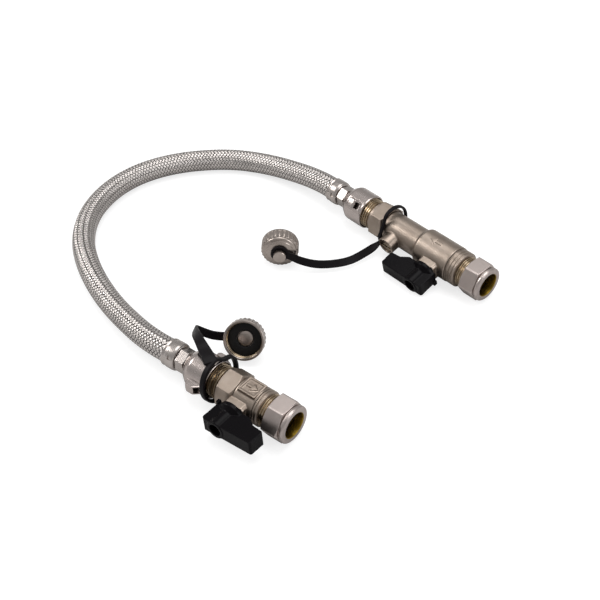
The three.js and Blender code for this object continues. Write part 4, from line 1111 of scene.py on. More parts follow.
@dataclass
class HoseEnd:
    """Winged swivel nut, hose tail and crimped ferrule at one end of the hose."""

    prefix: str
    place: Place
    start: float
    thread_end: float
    wing_turn: float
    body: Body
    length: float = 20
    radius: float = 12.1

    @property
    def end(self) -> float:
        """Where the swivel nut ends."""
        return self.start + self.length

    def wings(self) -> list[tuple[Cut, Shape]]:
        """Two lugs that widen to their roots, with hollowed fronts."""
        start = self.start + 6
        drawn = lathe([
            (start - 4.4, 0), (start - 4.2, 11.9), (start - 0.4, 15.2), (start + 0.5, 15.8),
            (start + 4.8, 15.8), (start + 6.2, 14.6), (start + 7, 0),
        ], 0.5)
        slab = block((-self.end, -self.start), (-3.2, 3.2), (-17, 17)).rolled(-self.wing_turn)
        lug = as_shape(carved("lug", drawn, [(Cut.KEEP, slab)]))
        cuts = []
        for low, high in ((12.3, 14.9), (-14.9, -12.3)):
            hollow = block((-start - 5, -start + 5), (-2.3, 2.3), (low, high))
            cuts.append((Cut.REMOVE, hollow.rolled(-self.wing_turn)))
        return [(Cut.JOIN, lug), *cuts]

    def swivel(self, finishes: Finishes) -> None:
        """Domed nut with its wings, bored for the thread and the tail."""
        start, end = self.start, self.end
        shell = lathe([
            (start, 0), (start, self.radius), (start + 14.8, self.radius), (start + 17.2, 10.6),
            (end - 0.6, 8.9), (end, 8.2), (end, 0),
        ], 0.8)
        shoulder = end - 4.6
        bore = lathe([
            (start - 1, 0), (start - 1, 11.2), (start, 11.2), (start + 0.5, 10.88),
            (shoulder - 1.5, 10.88), (shoulder, 10.1), (shoulder, 6.8), (end + 1, 6.8),
            (end + 1, 0),
        ], 0.15)
        mesh = carved(f"{self.prefix}_swivel_skin", shell, [*self.wings(), (Cut.REMOVE, bore)])
        placed(
            cast(mesh, 0.26, 3), self.place.matrix(), self.body,
            [f"{self.prefix}_swivel_nut"], [finishes.swivel[self.place]],
        )

    def tail(self, finishes: Finishes) -> None:
        """Flange, neck, hexagon and barb of the hose tail."""
        hexagon = Hexagon(13.4, 0, fillet=0.7)
        flange, hex_start = self.thread_end + 2.6, self.end + 1.2
        hex_end = hex_start + 6.6
        rows = [
            (flange, 3.3), (flange, 9.4), (flange + 0.3, 9.7), (self.end - 5.3, 9.7),
            (self.end - 5.0, 9.4), (self.end - 5.0, 6.4), (self.end + 0.2, 6.4),
            (self.end + 0.35, 6.15), (self.end + 0.75, 6.15), (self.end + 0.9, 6.4),
            *hexagon.rows(hex_start, hex_end, (0.7, 0.5)), (hex_end, 4.3),
            (hex_end + 6, 4.3), (hex_end + 7, 3.7), (hex_end + 7, 3.3),
        ]
        mesh = revolve(rows, hexagon.angles()).mesh(f"{self.prefix}_tail_skin")
        placed(
            mesh, self.place.matrix(), Body.LOOP, [f"{self.prefix}_hose_tail"],
            [finishes.steel[self.place]],
        )

    def ferrule(self, finishes: Finishes) -> None:
        """Crimped sleeve with its small notch."""
        start = self.end + 1.2 + 6.6 + 0.3
        mouth = start + 9.3
        sleeve = lathe([
            (start, 4.6), (start, 7.5), (start + 0.9, 8.5), (start + 2.2, 8.7), (mouth - 3.1, 8.7),
            (mouth - 2.3, 8.3), (mouth - 1.4, 8.35), (mouth - 0.7, 8.7), (mouth, 8.5), (mouth, 7.9),
            (start + 1.2, 7.9), (start + 1.2, 4.6),
        ], 0.5)
        notch = block((-start - 4.2, -start - 1.8), (-1.2, 1.2), (8.0, 10)).rolled(60)
        mesh = carved(f"{self.prefix}_ferrule_skin", sleeve, [(Cut.REMOVE, notch)])
        placed(
            mesh, self.place.matrix(), Body.LOOP, [f"{self.prefix}_ferrule"],
            [finishes.steel[self.place]],
        )

    def build(self, finishes: Finishes) -> None:
        """All three pieces."""
        self.swivel(finishes)
        self.tail(finishes)
        self.ferrule(finishes)


def spline(points: Sequence[Vector], shares: np.ndarray) -> list[Vector]:
    """A centripetal Catmull-Rom curve through points.

    Args:
        points: the points that it passes.
        shares: where it is read, from 0 at the first point to 1 at the last.

    Returns:
        The curve's points there.
    """
    ends = [points[0] * 2 - points[1], *points, points[-1] * 2 - points[-2]]
    read = []
    for share in shares:
        at = share * (len(points) - 1)
        i = min(int(at), len(points) - 2)
        p = ends[i : i + 4]
        gaps = [max((b - a).length ** 0.5, 1e-4) for a, b in zip(p, p[1:])]
        slopes = [(b - a) / gap for a, b, gap in zip(p, p[1:], gaps)]
        first = slopes[0] - (p[2] - p[0]) / (gaps[0] + gaps[1]) + slopes[1]
        last = slopes[1] - (p[3] - p[1]) / (gaps[1] + gaps[2]) + slopes[2]
        start, end, u = first * gaps[1], last * gaps[1], at - i
        read.append(
            p[1] + start * u
            + (p[1] * -3 + p[2] * 3 - start * 2 - end) * u**2
            + (p[1] * 2 - p[2] * 2 + start + end) * u**3
        )
    return read


@dataclass
class BraidTree:
    """Geometry Nodes that wind interlaced flat ribbons round a hose's centre line.

    Each ribbon passes over one that winds the other way and then under one. The tree reads a
    curve and gives the closed ribbons with two named attributes: across, from -0.5 to 0.5 over a
    ribbon's width, and lift, from -1 where it passes under to 1 where it passes over.
    """

    tree: bpy.types.NodeTree = field(init=False)

    def __post_init__(self) -> None:
        """Builds the tree."""
        self.tree = bpy.data.node_groups.new("Braid ribbons", "GeometryNodeTree")
        new = self.tree.interface.new_socket
        new("Centre Line", in_out="INPUT", socket_type="NodeSocketGeometry")
        for name in ("Ribbons", "Steps"):
            new(name, in_out="INPUT", socket_type="NodeSocketInt")
        for name in ("Hand", "Turns", "Radius", "Weave", "Width", "Thickness"):
            new(name, in_out="INPUT", socket_type="NodeSocketFloat")
        new("Material", in_out="INPUT", socket_type="NodeSocketMaterial")
        new("Ribbon Mesh", in_out="OUTPUT", socket_type="NodeSocketGeometry")
        self._wire()

    def _wire(self) -> None:
        """Adds and joins the nodes."""
        wiring = Wiring(self.tree)
        given = wiring.add("NodeGroupInput").outputs
        line = wiring.add("GeometryNodeCurvePrimitiveLine")
        points = wiring.add("GeometryNodeResampleCurve", {
            "Curve": line.outputs[0], "Count": given["Steps"],
        })
        copies = wiring.add("GeometryNodeDuplicateElements", {
            "Geometry": points.outputs[0], "Amount": given["Ribbons"],
        }, domain="SPLINE")
        number = copies.outputs["Duplicate Index"]
        share = wiring.add("GeometryNodeSplineParameter").outputs["Factor"]
        centre = wiring.add("GeometryNodeSampleCurve", {
            "Curves": given["Centre Line"], "Factor": share,
        }, mode="FACTOR", use_all_curves=True)
        turns = wiring.math("MULTIPLY", share, given["Turns"])
        wound = wiring.math("MULTIPLY", turns, given["Hand"])
        turn = wiring.math("ADD", wound, wiring.math("DIVIDE", number, given["Ribbons"]))
        angle = wiring.math("MULTIPLY", turn, 2 * math.pi)
        radial = self._radial(wiring, centre, angle)
        wave = self._wave(wiring, given, share)
        height = wiring.math("ADD", wiring.math("MULTIPLY", wave, given["Weave"]), given["Radius"])
        away = wiring.add("ShaderNodeVectorMath", {0: radial, "Scale": height}, operation="SCALE")
        position = wiring.add("ShaderNodeVectorMath", {
            0: centre.outputs["Position"], 1: away.outputs[0],
        }, operation="ADD")
        marked = wiring.add("GeometryNodeStoreNamedAttribute", {
            "Geometry": copies.outputs[0], "Name": "lift", "Value": wave,
        }, data_type="FLOAT", domain="POINT")
        faced = wiring.add("GeometryNodeSetCurveNormal", {
            "Curve": marked.outputs[0], "Normal": radial,
        }, mode="FREE")
        laid = wiring.add("GeometryNodeSetPosition", {
            "Geometry": faced.outputs[0], "Position": position.outputs[0],
        })
        ribbons = wiring.add("GeometryNodeCurveToMesh", {
            "Curve": laid.outputs[0], "Profile Curve": self._profile(wiring, given),
            "Fill Caps": True,
        })
        real = wiring.add("GeometryNodeRealizeInstances", {0: ribbons.outputs[0]})
        painted = wiring.add("GeometryNodeSetMaterial", {
            "Geometry": real.outputs[0], "Material": given["Material"],
        })
        wiring.add("NodeGroupOutput", {0: painted.outputs[0]})

    @staticmethod
    def _radial(
        wiring: Wiring, centre: bpy.types.Node, angle: bpy.types.NodeSocket
    ) -> bpy.types.NodeSocket:
        """The direction away from the centre line at a ribbon's angle."""
        side = wiring.add("ShaderNodeVectorMath", {
            0: centre.outputs["Tangent"], 1: centre.outputs["Normal"],
        }, operation="CROSS_PRODUCT")
        first = wiring.add("ShaderNodeVectorMath", {
            0: centre.outputs["Normal"], "Scale": wiring.math("COSINE", angle),
        }, operation="SCALE")
        second = wiring.add("ShaderNodeVectorMath", {
            0: side.outputs[0], "Scale": wiring.math("SINE", angle),
        }, operation="SCALE")
        return wiring.add("ShaderNodeVectorMath", {
            0: first.outputs[0], 1: second.outputs[0],
        }, operation="ADD").outputs[0]

    @staticmethod
    def _wave(
        wiring: Wiring, given: object, share: bpy.types.NodeSocket
    ) -> bpy.types.NodeSocket:
        """A flat-topped wave, whose whole periods are two crossings long."""
        half_turns = wiring.math("MULTIPLY", given["Turns"], 2.0)
        crossings = wiring.math("MULTIPLY", half_turns, given["Ribbons"])
        phase = wiring.math("MULTIPLY", wiring.math("MULTIPLY", share, crossings), math.pi)
        steep = wiring.math("MULTIPLY", wiring.math("COSINE", phase), 1.35)
        flat = wiring.math("MINIMUM", wiring.math("MAXIMUM", steep, -1.0), 1.0)
        return wiring.math("MULTIPLY", flat, given["Hand"])

    @staticmethod
    def _profile(wiring: Wiring, given: object) -> bpy.types.NodeSocket:
        """A ribbon's section, narrower on its outer side, with its across attribute."""
        section = wiring.add("GeometryNodeCurvePrimitiveQuadrilateral", {
            "Height": given["Thickness"], "Bottom Width": given["Width"],
            "Top Width": wiring.math("MULTIPLY", given["Width"], 0.8), "Offset": 0.0,
        }, mode="TRAPEZOID")
        position = wiring.add("GeometryNodeInputPosition").outputs[0]
        parts = wiring.add("ShaderNodeSeparateXYZ", {0: position})
        across = wiring.math("DIVIDE", parts.outputs["X"], given["Width"])
        stored = wiring.add("GeometryNodeStoreNamedAttribute", {
            "Geometry": section.outputs[0], "Name": "across", "Value": across,
        }, data_type="FLOAT", domain="POINT")
        return wiring.add("GeometryNodeTransform", {
            "Geometry": stored.outputs[0], "Rotation": (0.0, 0.0, -math.pi / 2),
        }).outputs[0]

    def wind(
        self, name: str, centre_line: bpy.types.Curve, sizes: dict[str, object]
    ) -> bpy.types.Mesh:
        """The ribbons that wind one way.

        Args:
            name: the piece's name.
            centre_line: the hose's centre line.
            sizes: a value for each of the tree's inputs.

        Returns:
            Their plain mesh, in the row frame.
        """
        work = bpy.data.objects.new(name, centre_line)
        bpy.context.scene.collection.objects.link(work)
        nodes = work.modifiers.new("Braid", "NODES")
        nodes.node_group = self.tree
        for item in self.tree.interface.items_tree:
            if item.in_out == "INPUT" and item.name in sizes:
                nodes[item.identifier] = sizes[item.name]
        return settled(work)


@dataclass
class Hose:
    """The braided hose between the ferrules, lying on the table."""

    radius: float = 7.6
    core_radii: tuple[float, float] = (6.9, 6.72)
    core_sides: int = 40
    core_steps: int = 360
    ribbons: int = 12
    turns: float = 13.2
    steps: int = 1903
    ribbon_radius: float = 7.23
    weave: float = 0.24
    ribbon_width: float = 1.9
    ribbon_thickness: float = 0.24
    route: Sequence[tuple[float, float, float]] = (
        (-69, 86.9, 13.3), (-83, 85.7, 12.4), (-99.5, 82.9, 10.7), (-115, 78.9, 9.1),
        (-128.5, 73.3, 8), (-140, 65.8, 7.65), (-149.8, 56.3, 7.65), (-158.2, 45.4, 7.65),
        (-165.2, 34, 7.65), (-170.6, 21.7, 7.65), (-174.1, 8.6, 7.65), (-175.3, -5.5, 7.65),
        (-173.6, -20.5, 7.65), (-168.6, -35.7, 7.65), (-159.9, -51, 7.65), (-147.3, -64.9, 7.65),
        (-131, -76.6, 7.65), (-113, -84.8, 7.65), (-95.8, -90.2, 7.65), (-79.2, -93.8, 7.7),
        (-63.4, -96, 8), (-47.6, -97.3, 9.1), (-32, -98, 10.6), (-18.5, -97.4, 12),
    )

    def centre(self, steps: int) -> list[Vector]:
        """The centre line in the row frame, in metres, from inside one ferrule to the other."""
        far = [FAR_PLACE.matrix() @ Vector((-t, 0, 0)) for t in (132.4, 138.2, 142.2)]
        near = [NEAR_PLACE.matrix() @ Vector((-t, 0, 0)) for t in (94.4, 90.4, 84.6)]
        middle = [(Vector(p) + SHIFT) * MM for p in self.route]
        return spline([p / MM for p in [*far, *middle, *near]], np.linspace(0, 1, steps))

    def core(self, finishes: Finishes) -> tuple[bpy.types.Object, list[Vector]]:
        """A dark sheet under the braid's ribbons: painted shade that shows through the gaps between
        them. The dark under-layer of the braid, which is the declared cord.
        """
        line = self.centre(self.core_steps)
        count = self.core_sides
        points, faces = [], []
        normal = Vector((0, 0, 1))
        for i, point in enumerate(line):
            tangent = (line[min(i + 1, len(line) - 1)] - line[max(i - 1, 0)]).normalized()
            side = tangent.cross(normal).normalized()
            up = side.cross(tangent)
            for radius in self.core_radii:
                points += [
                    point + (side * math.cos(a) + up * math.sin(a)) * radius for a in circle(count)
                ]
        last = len(line) - 1
        for i in range(last):
            for k in range(count):
                j, here, there = (k + 1) % count, 2 * count * i, 2 * count * (i + 1)
                faces.append((here + k, here + j, there + j, there + k))
                faces.append(tuple(c + count for c in (here + k, there + k, there + j, here + j)))
        for k in range(count):
            j, end = (k + 1) % count, 2 * count * last
            faces.append((k, count + k, count + j, j))
            faces.append((end + k, end + j, end + count + j, end + count + k))
        mesh = Shape(np.array([tuple(p) for p in points]), faces).mesh("hose_braid_shade_sheet")
        piece = placed(
            mesh, Matrix.Scale(MM, 4), Body.LOOP, ["hose_braid"], [finishes.under]
        )
        return piece, line

    def braid(self, finishes: Finishes, line: list[Vector]) -> list[bpy.types.Object]:
        """The ribbons of both hands, wound by Geometry Nodes."""
        curve = bpy.data.curves.new("hose_centre", "CURVE")
        curve.dimensions = "3D"
        path = curve.splines.new("POLY")
        path.points.add(len(line) - 1)
        path.points.foreach_set("co", [c for p in line for c in (*(p * MM), 1)])
        tree, made = BraidTree(), []
        for hand in Hand:
            sizes = {
                "Ribbons": self.ribbons, "Steps": self.steps, "Hand": float(hand.value),
                "Turns": self.turns, "Radius": self.ribbon_radius * MM,
                "Weave": self.weave * MM, "Width": self.ribbon_width * MM,
                "Thickness": self.ribbon_thickness * MM, "Material": finishes.ribbon,
            }
            mesh = tree.wind(f"hose_ribbons_{hand.name.lower()}", curve, sizes)
            made.append(placed(
                mesh, Matrix.Identity(4), Body.LOOP, ["hose_braid"],
                [finishes.ribbon],
            ))
        return made

    def build(self, finishes: Finishes) -> None:
        """The sheet of painted shade under the braid, and the ribbons over it."""
        core, line = self.core(finishes)
        ribbons = self.braid(finishes, line)


@dataclass(frozen=True)
class CapPlace:
    """Where a cap lies: its closed face's centre, and the way it opens."""

    centre: tuple[float, float, float]
    opening: tuple[float, float, float]

    def matrix(self) -> Matrix:
        """The cap's own millimetres, which open along x, to part millimetres."""
        x = Vector(self.opening).normalized()
        y = Vector((0, 0, 1)).cross(x).normalized()
        turn = Matrix((x, y, x.cross(y))).transposed().to_4x4()
        return Matrix.Translation(self.centre) @ turn

    def frame(self) -> Matrix:
        """The cap's own millimetres to the row frame."""
        return Matrix.Scale(MM, 4) @ Matrix.Translation(SHIFT) @ self.matrix()


NEAR_CAP = CapPlace((11.1, -53.2, 9.7), (0.543, -0.667, 0.52))
FAR_CAP = CapPlace((-33, 12, 12.5), (-0.72, 0.69, 0))


@dataclass
class Cap:
    """Blanking cap with a scalloped grip, its washer and the stud for the strap."""

    prefix: str
    place: CapPlace
    radius: float = 12.4
    depth: float = 9.8
    scallops: int = 28
    scallop_radius: float = 1.1
    scallop_depth: float = 0.4
    thread_crest: float = 10.35
    thread_root: float = 10.8

    def grip(self, angles: np.ndarray) -> np.ndarray:
        """Radius of the grip, hollowed by the scallops."""
        step = 2 * math.pi / self.scallops
        away = np.abs(np.mod(angles + step / 2, step) - step / 2) * self.radius
        inside = np.maximum(self.scallop_radius**2 - away**2, 0)
        hollow = np.sqrt(inside) - (self.scallop_radius - self.scallop_depth)
        return self.radius - np.maximum(hollow, 0)

    def build(self, finishes: Finishes) -> None:
        """The cap's skin, open along x, with its inner thread and domed middle."""
        angles = circle(self.scallops * 8)
        grip, depth = self.grip(angles), self.depth
        inner = thread_rows(-depth + 1.2, -4.9, self.thread_crest, self.thread_root, THREAD_PITCH)
        rows = [
            (5.4, 0), (5.4, 3.6), (5.3, 3.95), (5.0, 4.2), (2.8, 4.2), (2.5, 4.1), (2.4, 3.8),
            (2.4, 3.1), (0.15, 3.1), (0.0, 3.4), (0.0, 8.5), (-0.15, 8.9), (-0.45, 9.15),
            (-0.6, 9.6), (-0.75, 10.5), (-1.1, 11.0), (-1.6, 11.3), (-1.8, 11.35),
            (-2.1, np.minimum(grip, 11.9)), (-2.4, grip), (-6.9, grip),
            (-8.1, np.maximum(grip, 12.2)), (-8.3, 12.35), (-9.3, 12.4), (-9.65, 12.3),
            (-depth, 12.05), (-depth, 11.1), (-9.5, 10.85), *inner, (-2.6, 10.75), (-2.6, 4.8),
            (-3.2, 4.8), (-3.6, 4.6), (-3.9, 4.1), (-4.05, 2.6), (-4.1, 0),
        ]
        mesh = revolve(rows, angles).mesh(f"{self.prefix}_cap_skin")
        placed(
            mesh, self.place.frame(), Body.LOOP, [f"{self.prefix}_cap"],
            [finishes.cap, finishes.thread[NEAR_PLACE]],
            lambda centre, normal: bool(centre[0] > 4.5 and math.hypot(*centre[1:]) < 10.95),
        )
        washer = lathe([(-4.6, 5.1), (-4.6, 10.45), (-2.9, 10.45), (-2.9, 5.1)], 0.4)
        placed(
            washer.mesh(f"{self.prefix}_washer_skin"), self.place.frame(), Body.LOOP,
            [f"{self.prefix}_cap_washer"], [finishes.seal],
        )


@dataclass(frozen=True)
class Loop:
    """How a strap's loop hangs round its valve, in the valve's axes without its roll.

    It is pressed in between two angles, in degrees, by a depth in millimetres.
    """

    station: float
    centre: tuple[float, float]
    lean: float
    narrowing: float
    pressed: tuple[float, float, float]
    half_width: float = 1.7
    inner: float = 13.2
    outer: float = 15.0

    def shape(self) -> Shape:
        """The loop as a rounded ring, pressed in on one side."""
        half, inner, outer = self.half_width, self.inner, self.outer
        ring = lathe([(-half, inner), (-half, outer), (half, outer), (half, inner)], 0.45, 72)
        points = ring.points.copy()
        y, z = points[:, 1], points[:, 2]
        start, end, depth = self.pressed
        share = np.clip((np.degrees(np.arctan2(-y, z)) - start) / (end - start), 0, 1)
        scale = 1 - depth * np.sin(share * math.pi) ** 2 / np.hypot(y, z)
        points[:, 1], points[:, 2] = y * scale * self.narrowing, z * scale
        turned = Shape(points, ring.faces).moved(
            Matrix.Rotation(math.radians(-self.lean), 4, "Y")
        )
        return turned.shifted(-self.station, *self.centre)


@dataclass
class Strap:
    """Rubber strap: a loop round the valve, a flat band and an eyelet on the cap's stud."""

    prefix: str
    valve: Matrix
    loop: Loop
    cap: CapPlace
    route: Sequence[tuple[float, float, float]]
    widths: Sequence[tuple[float, float, float]]
    start_share: float
    taper: float
    width: float = 5.5
    thickness: float = 1.7
    steps: int = 90

    def band(self) -> Shape:
        """The flat band with rounded edges, along its route."""
        shares = np.linspace(0, 1, self.steps)
        centre = spline([Vector(p) for p in self.route], shares)
        across = spline([Vector(p) for p in self.widths], shares)
        half, thick = self.width / 2, self.thickness / 2
        section = [
            (half - 0.5, -thick), (half - 0.12, -thick + 0.2), (half, 0),
            (half - 0.12, thick - 0.2), (half - 0.5, thick), (-half + 0.5, thick),
            (-half + 0.12, thick - 0.2), (-half, 0), (-half + 0.12, -thick + 0.2),
            (-half + 0.5, -thick),
        ]
        points, faces, count = [], [], len(section)
        for i, point in enumerate(centre):
            after, before = centre[min(i + 1, self.steps - 1)], centre[max(i - 1, 0)]
            tangent = (after - before).normalized()
            side = (across[i] - tangent * across[i].dot(tangent)).normalized()
            through = side.cross(tangent)
            u = min(1.0, shares[i] / self.taper)
            share = self.start_share + (1 - self.start_share) * u * u * (3 - 2 * u)
            points += [point + side * (a * share) + through * b for a, b in section]
        last = (self.steps - 1) * count
        for here in range(0, last, count):
            for k in range(count):
                j, there = (k + 1) % count, here + count
                faces.append((here + k, here + j, there + j, there + k))
        faces += [tuple(range(count)), tuple(range(last + count - 1, last - 1, -1))]
        return Shape(np.array([tuple(p) for p in points]), faces)

    def build(self, finishes: Finishes) -> None:
        """Loop, band and eyelet moulded into one."""
        cap = self.cap.matrix()
        eyelet = lathe([(0.3, 3.4), (0.3, 6), (2.0, 6), (2.0, 3.4)], 0.3, 64).moved(cap)
        hole = lathe([(-9.8, 0), (-9.8, 3.4), (5.4, 3.4), (5.4, 0)], 0.05, 64).moved(cap)
        mesh = carved(f"{self.prefix}_strap_skin", self.loop.shape().moved(self.valve), [
            (Cut.JOIN, self.band()), (Cut.JOIN, eyelet), (Cut.REMOVE, hole),
        ])
        placed(
            cast(mesh, 0.26, 3), Matrix.Scale(MM, 4) @ Matrix.Translation(SHIFT), Body.LOOP,
            [f"{self.prefix}_strap"], [finishes.strap],
        )


def straps() -> list[Strap]:
    """The straps of both caps, as they lie."""
    near = Matrix.Translation(NEAR_PLACE.origin) @ Matrix.Rotation(
        math.radians(NEAR_PLACE.heading), 4, "Z"
    )
    return [
        Strap(
            "isolating", near,
            Loop(station=54, centre=(0, 2.5), lean=7, narrowing=1, pressed=(-66, 8, 3)), NEAR_CAP,
            [
                (29.4, -93.1, 29), (25.3, -91.8, 29.8), (19.4, -89.9, 29.8),
                (13.7, -88.2, 30.4), (6.3, -85.1, 28), (-3.6, -79.5, 21), (-9.2, -75.1, 15.8),
                (-8.6, -71.6, 12.2), (-4, -66.9, 9.4), (0.2, -61.7, 8), (4.1, -58, 8),
                (10.4, -52.4, 9.1),
            ],
            [
                (0.42, 0.9, 0), (0.42, 0.9, 0), (0.42, 0.9, 0.02), (0.4, 0.91, 0.06),
                (0.25, 0.85, 0.3), (0.05, 0.65, 0.7), (-0.05, 0.54, 0.84), (-0.1, 0.45, 0.87),
                (-0.2, 0.4, 0.87), (-0.3, 0.37, 0.86), (-0.36, 0.35, 0.85),
                (-0.385, 0.349, 0.85),
            ],
            start_share=1.5, taper=0.42,
        ),
        Strap(
            "check", Matrix.Translation(FAR_PLACE.origin),
            Loop(
                station=82, centre=(-1.2, 1.65), lean=0, narrowing=0.92, pressed=(20, 120, 3.4),
                half_width=1.2,
            ), FAR_CAP,
            [
                (-1.8, 74.6, 6.6), (-1.6, 70, 5.8), (-1.4, 60.5, 5.4), (-2.8, 47, 5),
                (-8.1, 35.8, 5), (-14.5, 26.8, 6), (-21.4, 19.8, 8.6), (-28.2, 14.8, 11.6),
                (-32.2, 11.2, 12.4),
            ],
            [
                (-1, 0, 0.05), (-0.97, 0.1, 0.25), (-0.8, 0.2, 0.55), (-0.65, 0.35, 0.7),
                (-0.5, 0.45, 0.74), (-0.4, 0.4, 0.85), (-0.2, 0.2, 0.95), (-0.05, 0.05, 1),
                (0, 0, 1),
            ],
            start_share=2.7 / 5.5, taper=0.2,
        ),
    ]


def dress_inner_pieces(nodes: dict[str, bpy.types.Object], finishes: Finishes) -> None:
    """Gives the working pieces inside the valves their finishes.

    Args:
        nodes: the CAD nodes by name.
        finishes: the part's materials.
    """
    endings = {
        "_olive": finishes.socket[NEAR_PLACE], "_ball": finishes.ball,
        "_seat_pipe_side": finishes.ptfe, "_seat_hose_side": finishes.ptfe,
        "_stem": finishes.socket[NEAR_PLACE], "_stem_seal": finishes.seal,
        "_handle_screw": finishes.spring, "_joint_washer": finishes.seal,
        "_cage_1": finishes.cage, "_cage_2": finishes.cage, "_poppet_1": finishes.cage,
        "_poppet_2": finishes.cage, "_spring_1": finishes.spring, "_spring_2": finishes.spring,
        "hose_liner": finishes.seal,
    }
    for name, node in nodes.items():
        found = [material for ending, material in endings.items() if name.endswith(ending)]
        if found:
            node.data.materials.clear()
            node.data.materials.append(found[0])
            log.info("%s: dressed", name)


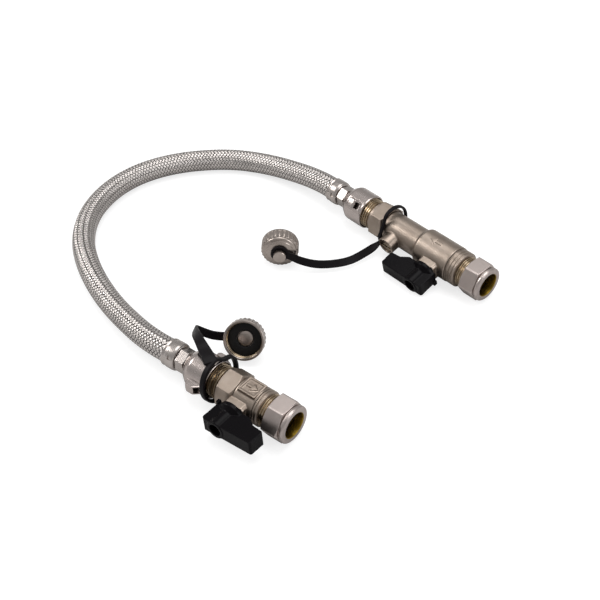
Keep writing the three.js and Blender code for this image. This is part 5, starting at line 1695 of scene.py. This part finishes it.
@dataclass
class Studio:
    """Camera, white table and soft lamps."""

    camera_at: Vector = Vector((0.3236, -0.2977, 0.4087))
    aim: Vector = Vector((-0.0128, 0.0071, 0.0))
    lens: float = 57.3
    table_half: float = 6.0
    table_height: float = -1e-4
    table_glow: float = 0.74
    table_shadowed: float = 0.36
    sky: Sequence[tuple[float, float]] = ((0.0, 0.62), (1.0, 0.95), (0.35, 0.44), (0.78, 0.5))

    def camera(self) -> None:
        """The camera at the photograph's angle."""
        data = bpy.data.cameras.new("Camera")
        data.lens, data.sensor_width = self.lens, 36
        camera = bpy.data.objects.new("Camera", data)
        bpy.context.scene.collection.objects.link(camera)
        camera.location = self.camera_at
        camera.rotation_mode = "QUATERNION"
        camera.rotation_quaternion = (self.aim - self.camera_at).to_track_quat("-Z", "Y")
        bpy.context.scene.camera = camera

    def table(self) -> None:
        """A white table that shows as white and keeps the object's shadow."""
        material, wiring = new_material("Table")
        ray = wiring.add("ShaderNodeLightPath").outputs
        seen = wiring.math("MAXIMUM", ray["Is Camera Ray"], ray["Is Transmission Ray"])
        plain = wiring.add("ShaderNodeBsdfDiffuse", {"Color": (0.8, 0.8, 0.8, 1)})
        grey = wiring.add("ShaderNodeBsdfDiffuse", {"Color": (0.58, 0.575, 0.57, 1)})
        faint = wiring.add("ShaderNodeBsdfDiffuse", {"Color": (*[self.table_shadowed] * 3, 1)})
        glow = wiring.add("ShaderNodeEmission", {"Color": (1, 1, 1, 1), "Strength": self.table_glow})
        white = wiring.add("ShaderNodeAddShader", {0: faint.outputs[0], 1: glow.outputs[0]})
        mirrored = wiring.add("ShaderNodeMixShader", {
            0: ray["Is Glossy Ray"], 1: plain.outputs[0], 2: grey.outputs[0],
        })
        mixed = wiring.add("ShaderNodeMixShader", {
            0: seen, 1: mirrored.outputs[0], 2: white.outputs[0],
        })
        wiring.add("ShaderNodeOutputMaterial", {"Surface": mixed.outputs[0]})
        mesh = bpy.data.meshes.new("table")
        signs = ((-1, -1), (1, -1), (1, 1), (-1, 1))
        edges = [(x * self.table_half, y * self.table_half, self.table_height) for x, y in signs]
        mesh.from_pydata(edges, [], [(0, 1, 2, 3)])
        mesh.materials.append(material)
        object_of(mesh)

    def lamp(
        self, name: str, at: Sequence[float], size: float, power: float, colour: Colour
    ) -> None:
        """A soft square lamp aimed at the object.

        Args:
            name: the lamp's name.
            at: where it hangs, in metres.
            size: its side.
            power: its power in watts.
            colour: its colour.
        """
        data = bpy.data.lights.new(name, "AREA")
        data.size, data.energy, data.color = size, power, colour
        lamp = bpy.data.objects.new(name, data)
        bpy.context.scene.collection.objects.link(lamp)
        lamp.location = Vector(at)
        lamp.rotation_mode = "QUATERNION"
        lamp.rotation_quaternion = (self.aim - Vector(at)).to_track_quat("-Z", "Y")

    def surroundings(self) -> None:
        """A world that is white to the camera and graded grey to the rest."""
        world = bpy.data.worlds.new("Studio")
        bpy.context.scene.world = world
        world.use_nodes = True
        world.node_tree.nodes.clear()
        wiring = Wiring(world.node_tree)
        ray = wiring.add("ShaderNodeLightPath").outputs
        up = wiring.add("ShaderNodeTexCoord").outputs["Generated"]
        height = wiring.add("ShaderNodeSeparateXYZ", {0: up}).outputs["Z"]
        graded = wiring.add("ShaderNodeValToRGB", {"Fac": wiring.math("ABSOLUTE", height)})
        stops = graded.color_ramp.elements
        for i, (at, grey) in enumerate(self.sky):
            stop = stops[i] if i < 2 else stops.new(at)
            stop.position, stop.color = at, (grey, grey, grey, 1)
        shown = wiring.math("MAXIMUM", graded.outputs["Color"], ray["Is Camera Ray"])
        lit = wiring.add("ShaderNodeBackground", {"Color": (1, 1, 1, 1), "Strength": shown})
        wiring.add("ShaderNodeOutputWorld", {"Surface": lit.outputs[0]})

    def lights(self) -> None:
        """Overhead softbox, key from the left and a weak fill from the right."""
        self.lamp("Overhead", (-0.1, 0.25, 1.3), size=0.9, power=8, colour=(1.0, 1.0, 1.0))
        self.lamp("Key", (-0.9, -0.55, 0.75), size=0.5, power=6, colour=(1.0, 0.99, 0.98))
        self.lamp("Fill", (0.9, 0.3, 0.55), size=0.5, power=3, colour=(0.97, 0.98, 1.0))
        bpy.context.scene.view_settings.view_transform = "Standard"


def corners(box: tuple[Vector, Vector]) -> list[list[float]]:
    """A box's two corners as plain lists."""
    return [[float(c) for c in corner] for corner in box]


def main() -> None:
    """Builds the whole scene."""
    logging.basicConfig(level=logging.INFO, format="%(name)s: %(message)s")
    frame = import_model()
    studio, finishes = Studio(), Finishes()
    studio.camera()
    Hose().build(finishes)
    near_body, far_body = NearBody(), FarBody()
    ends = [
        CompressionEnd(
            "isolating", NEAR_PLACE, nut_turn=29, flange=(18.7, 22.0, 11.0), stem=near_body.stem
        ),
        CompressionEnd(
            "check", FAR_PLACE, nut_turn=21, flange=(19.5, 26.5, 12.0), stem=far_body.stem
        ),
    ]
    for end in ends:
        end.nut(finishes)
        end.socket(finishes)
    near_body.casting(finishes)
    near_body.thread(finishes)
    far_body.casting(finishes)
    far_body.adapter(finishes)
    far_body.plug(finishes)
    sides = (
        ("isolating", near_body, -5, Body.NEAR_LEVER, 55, -90, Body.NEAR_SWIVEL),
        ("check", far_body, 180, Body.FAR_LEVER, 102.8, -37, Body.FAR_SWIVEL),
    )
    for prefix, body, lever_turn, lever_body, swivel_start, wing_turn, swivel_body in sides:
        Lever(prefix, body.place, body.stem, body.boss_top, lever_turn, lever_body).build(finishes)
        HoseEnd(
            prefix, body.place, swivel_start, body.thread_end, wing_turn, swivel_body
        ).build(finishes)
    Cap("isolating", NEAR_CAP).build(finishes)
    Cap("check", FAR_CAP).build(finishes)
    for strap in straps():
        strap.build(finishes)
    dress_inner_pieces(frame["nodes"], finishes)
    studio.table()
    studio.lights()
    studio.surroundings()


if __name__ == "__main__":
    main()
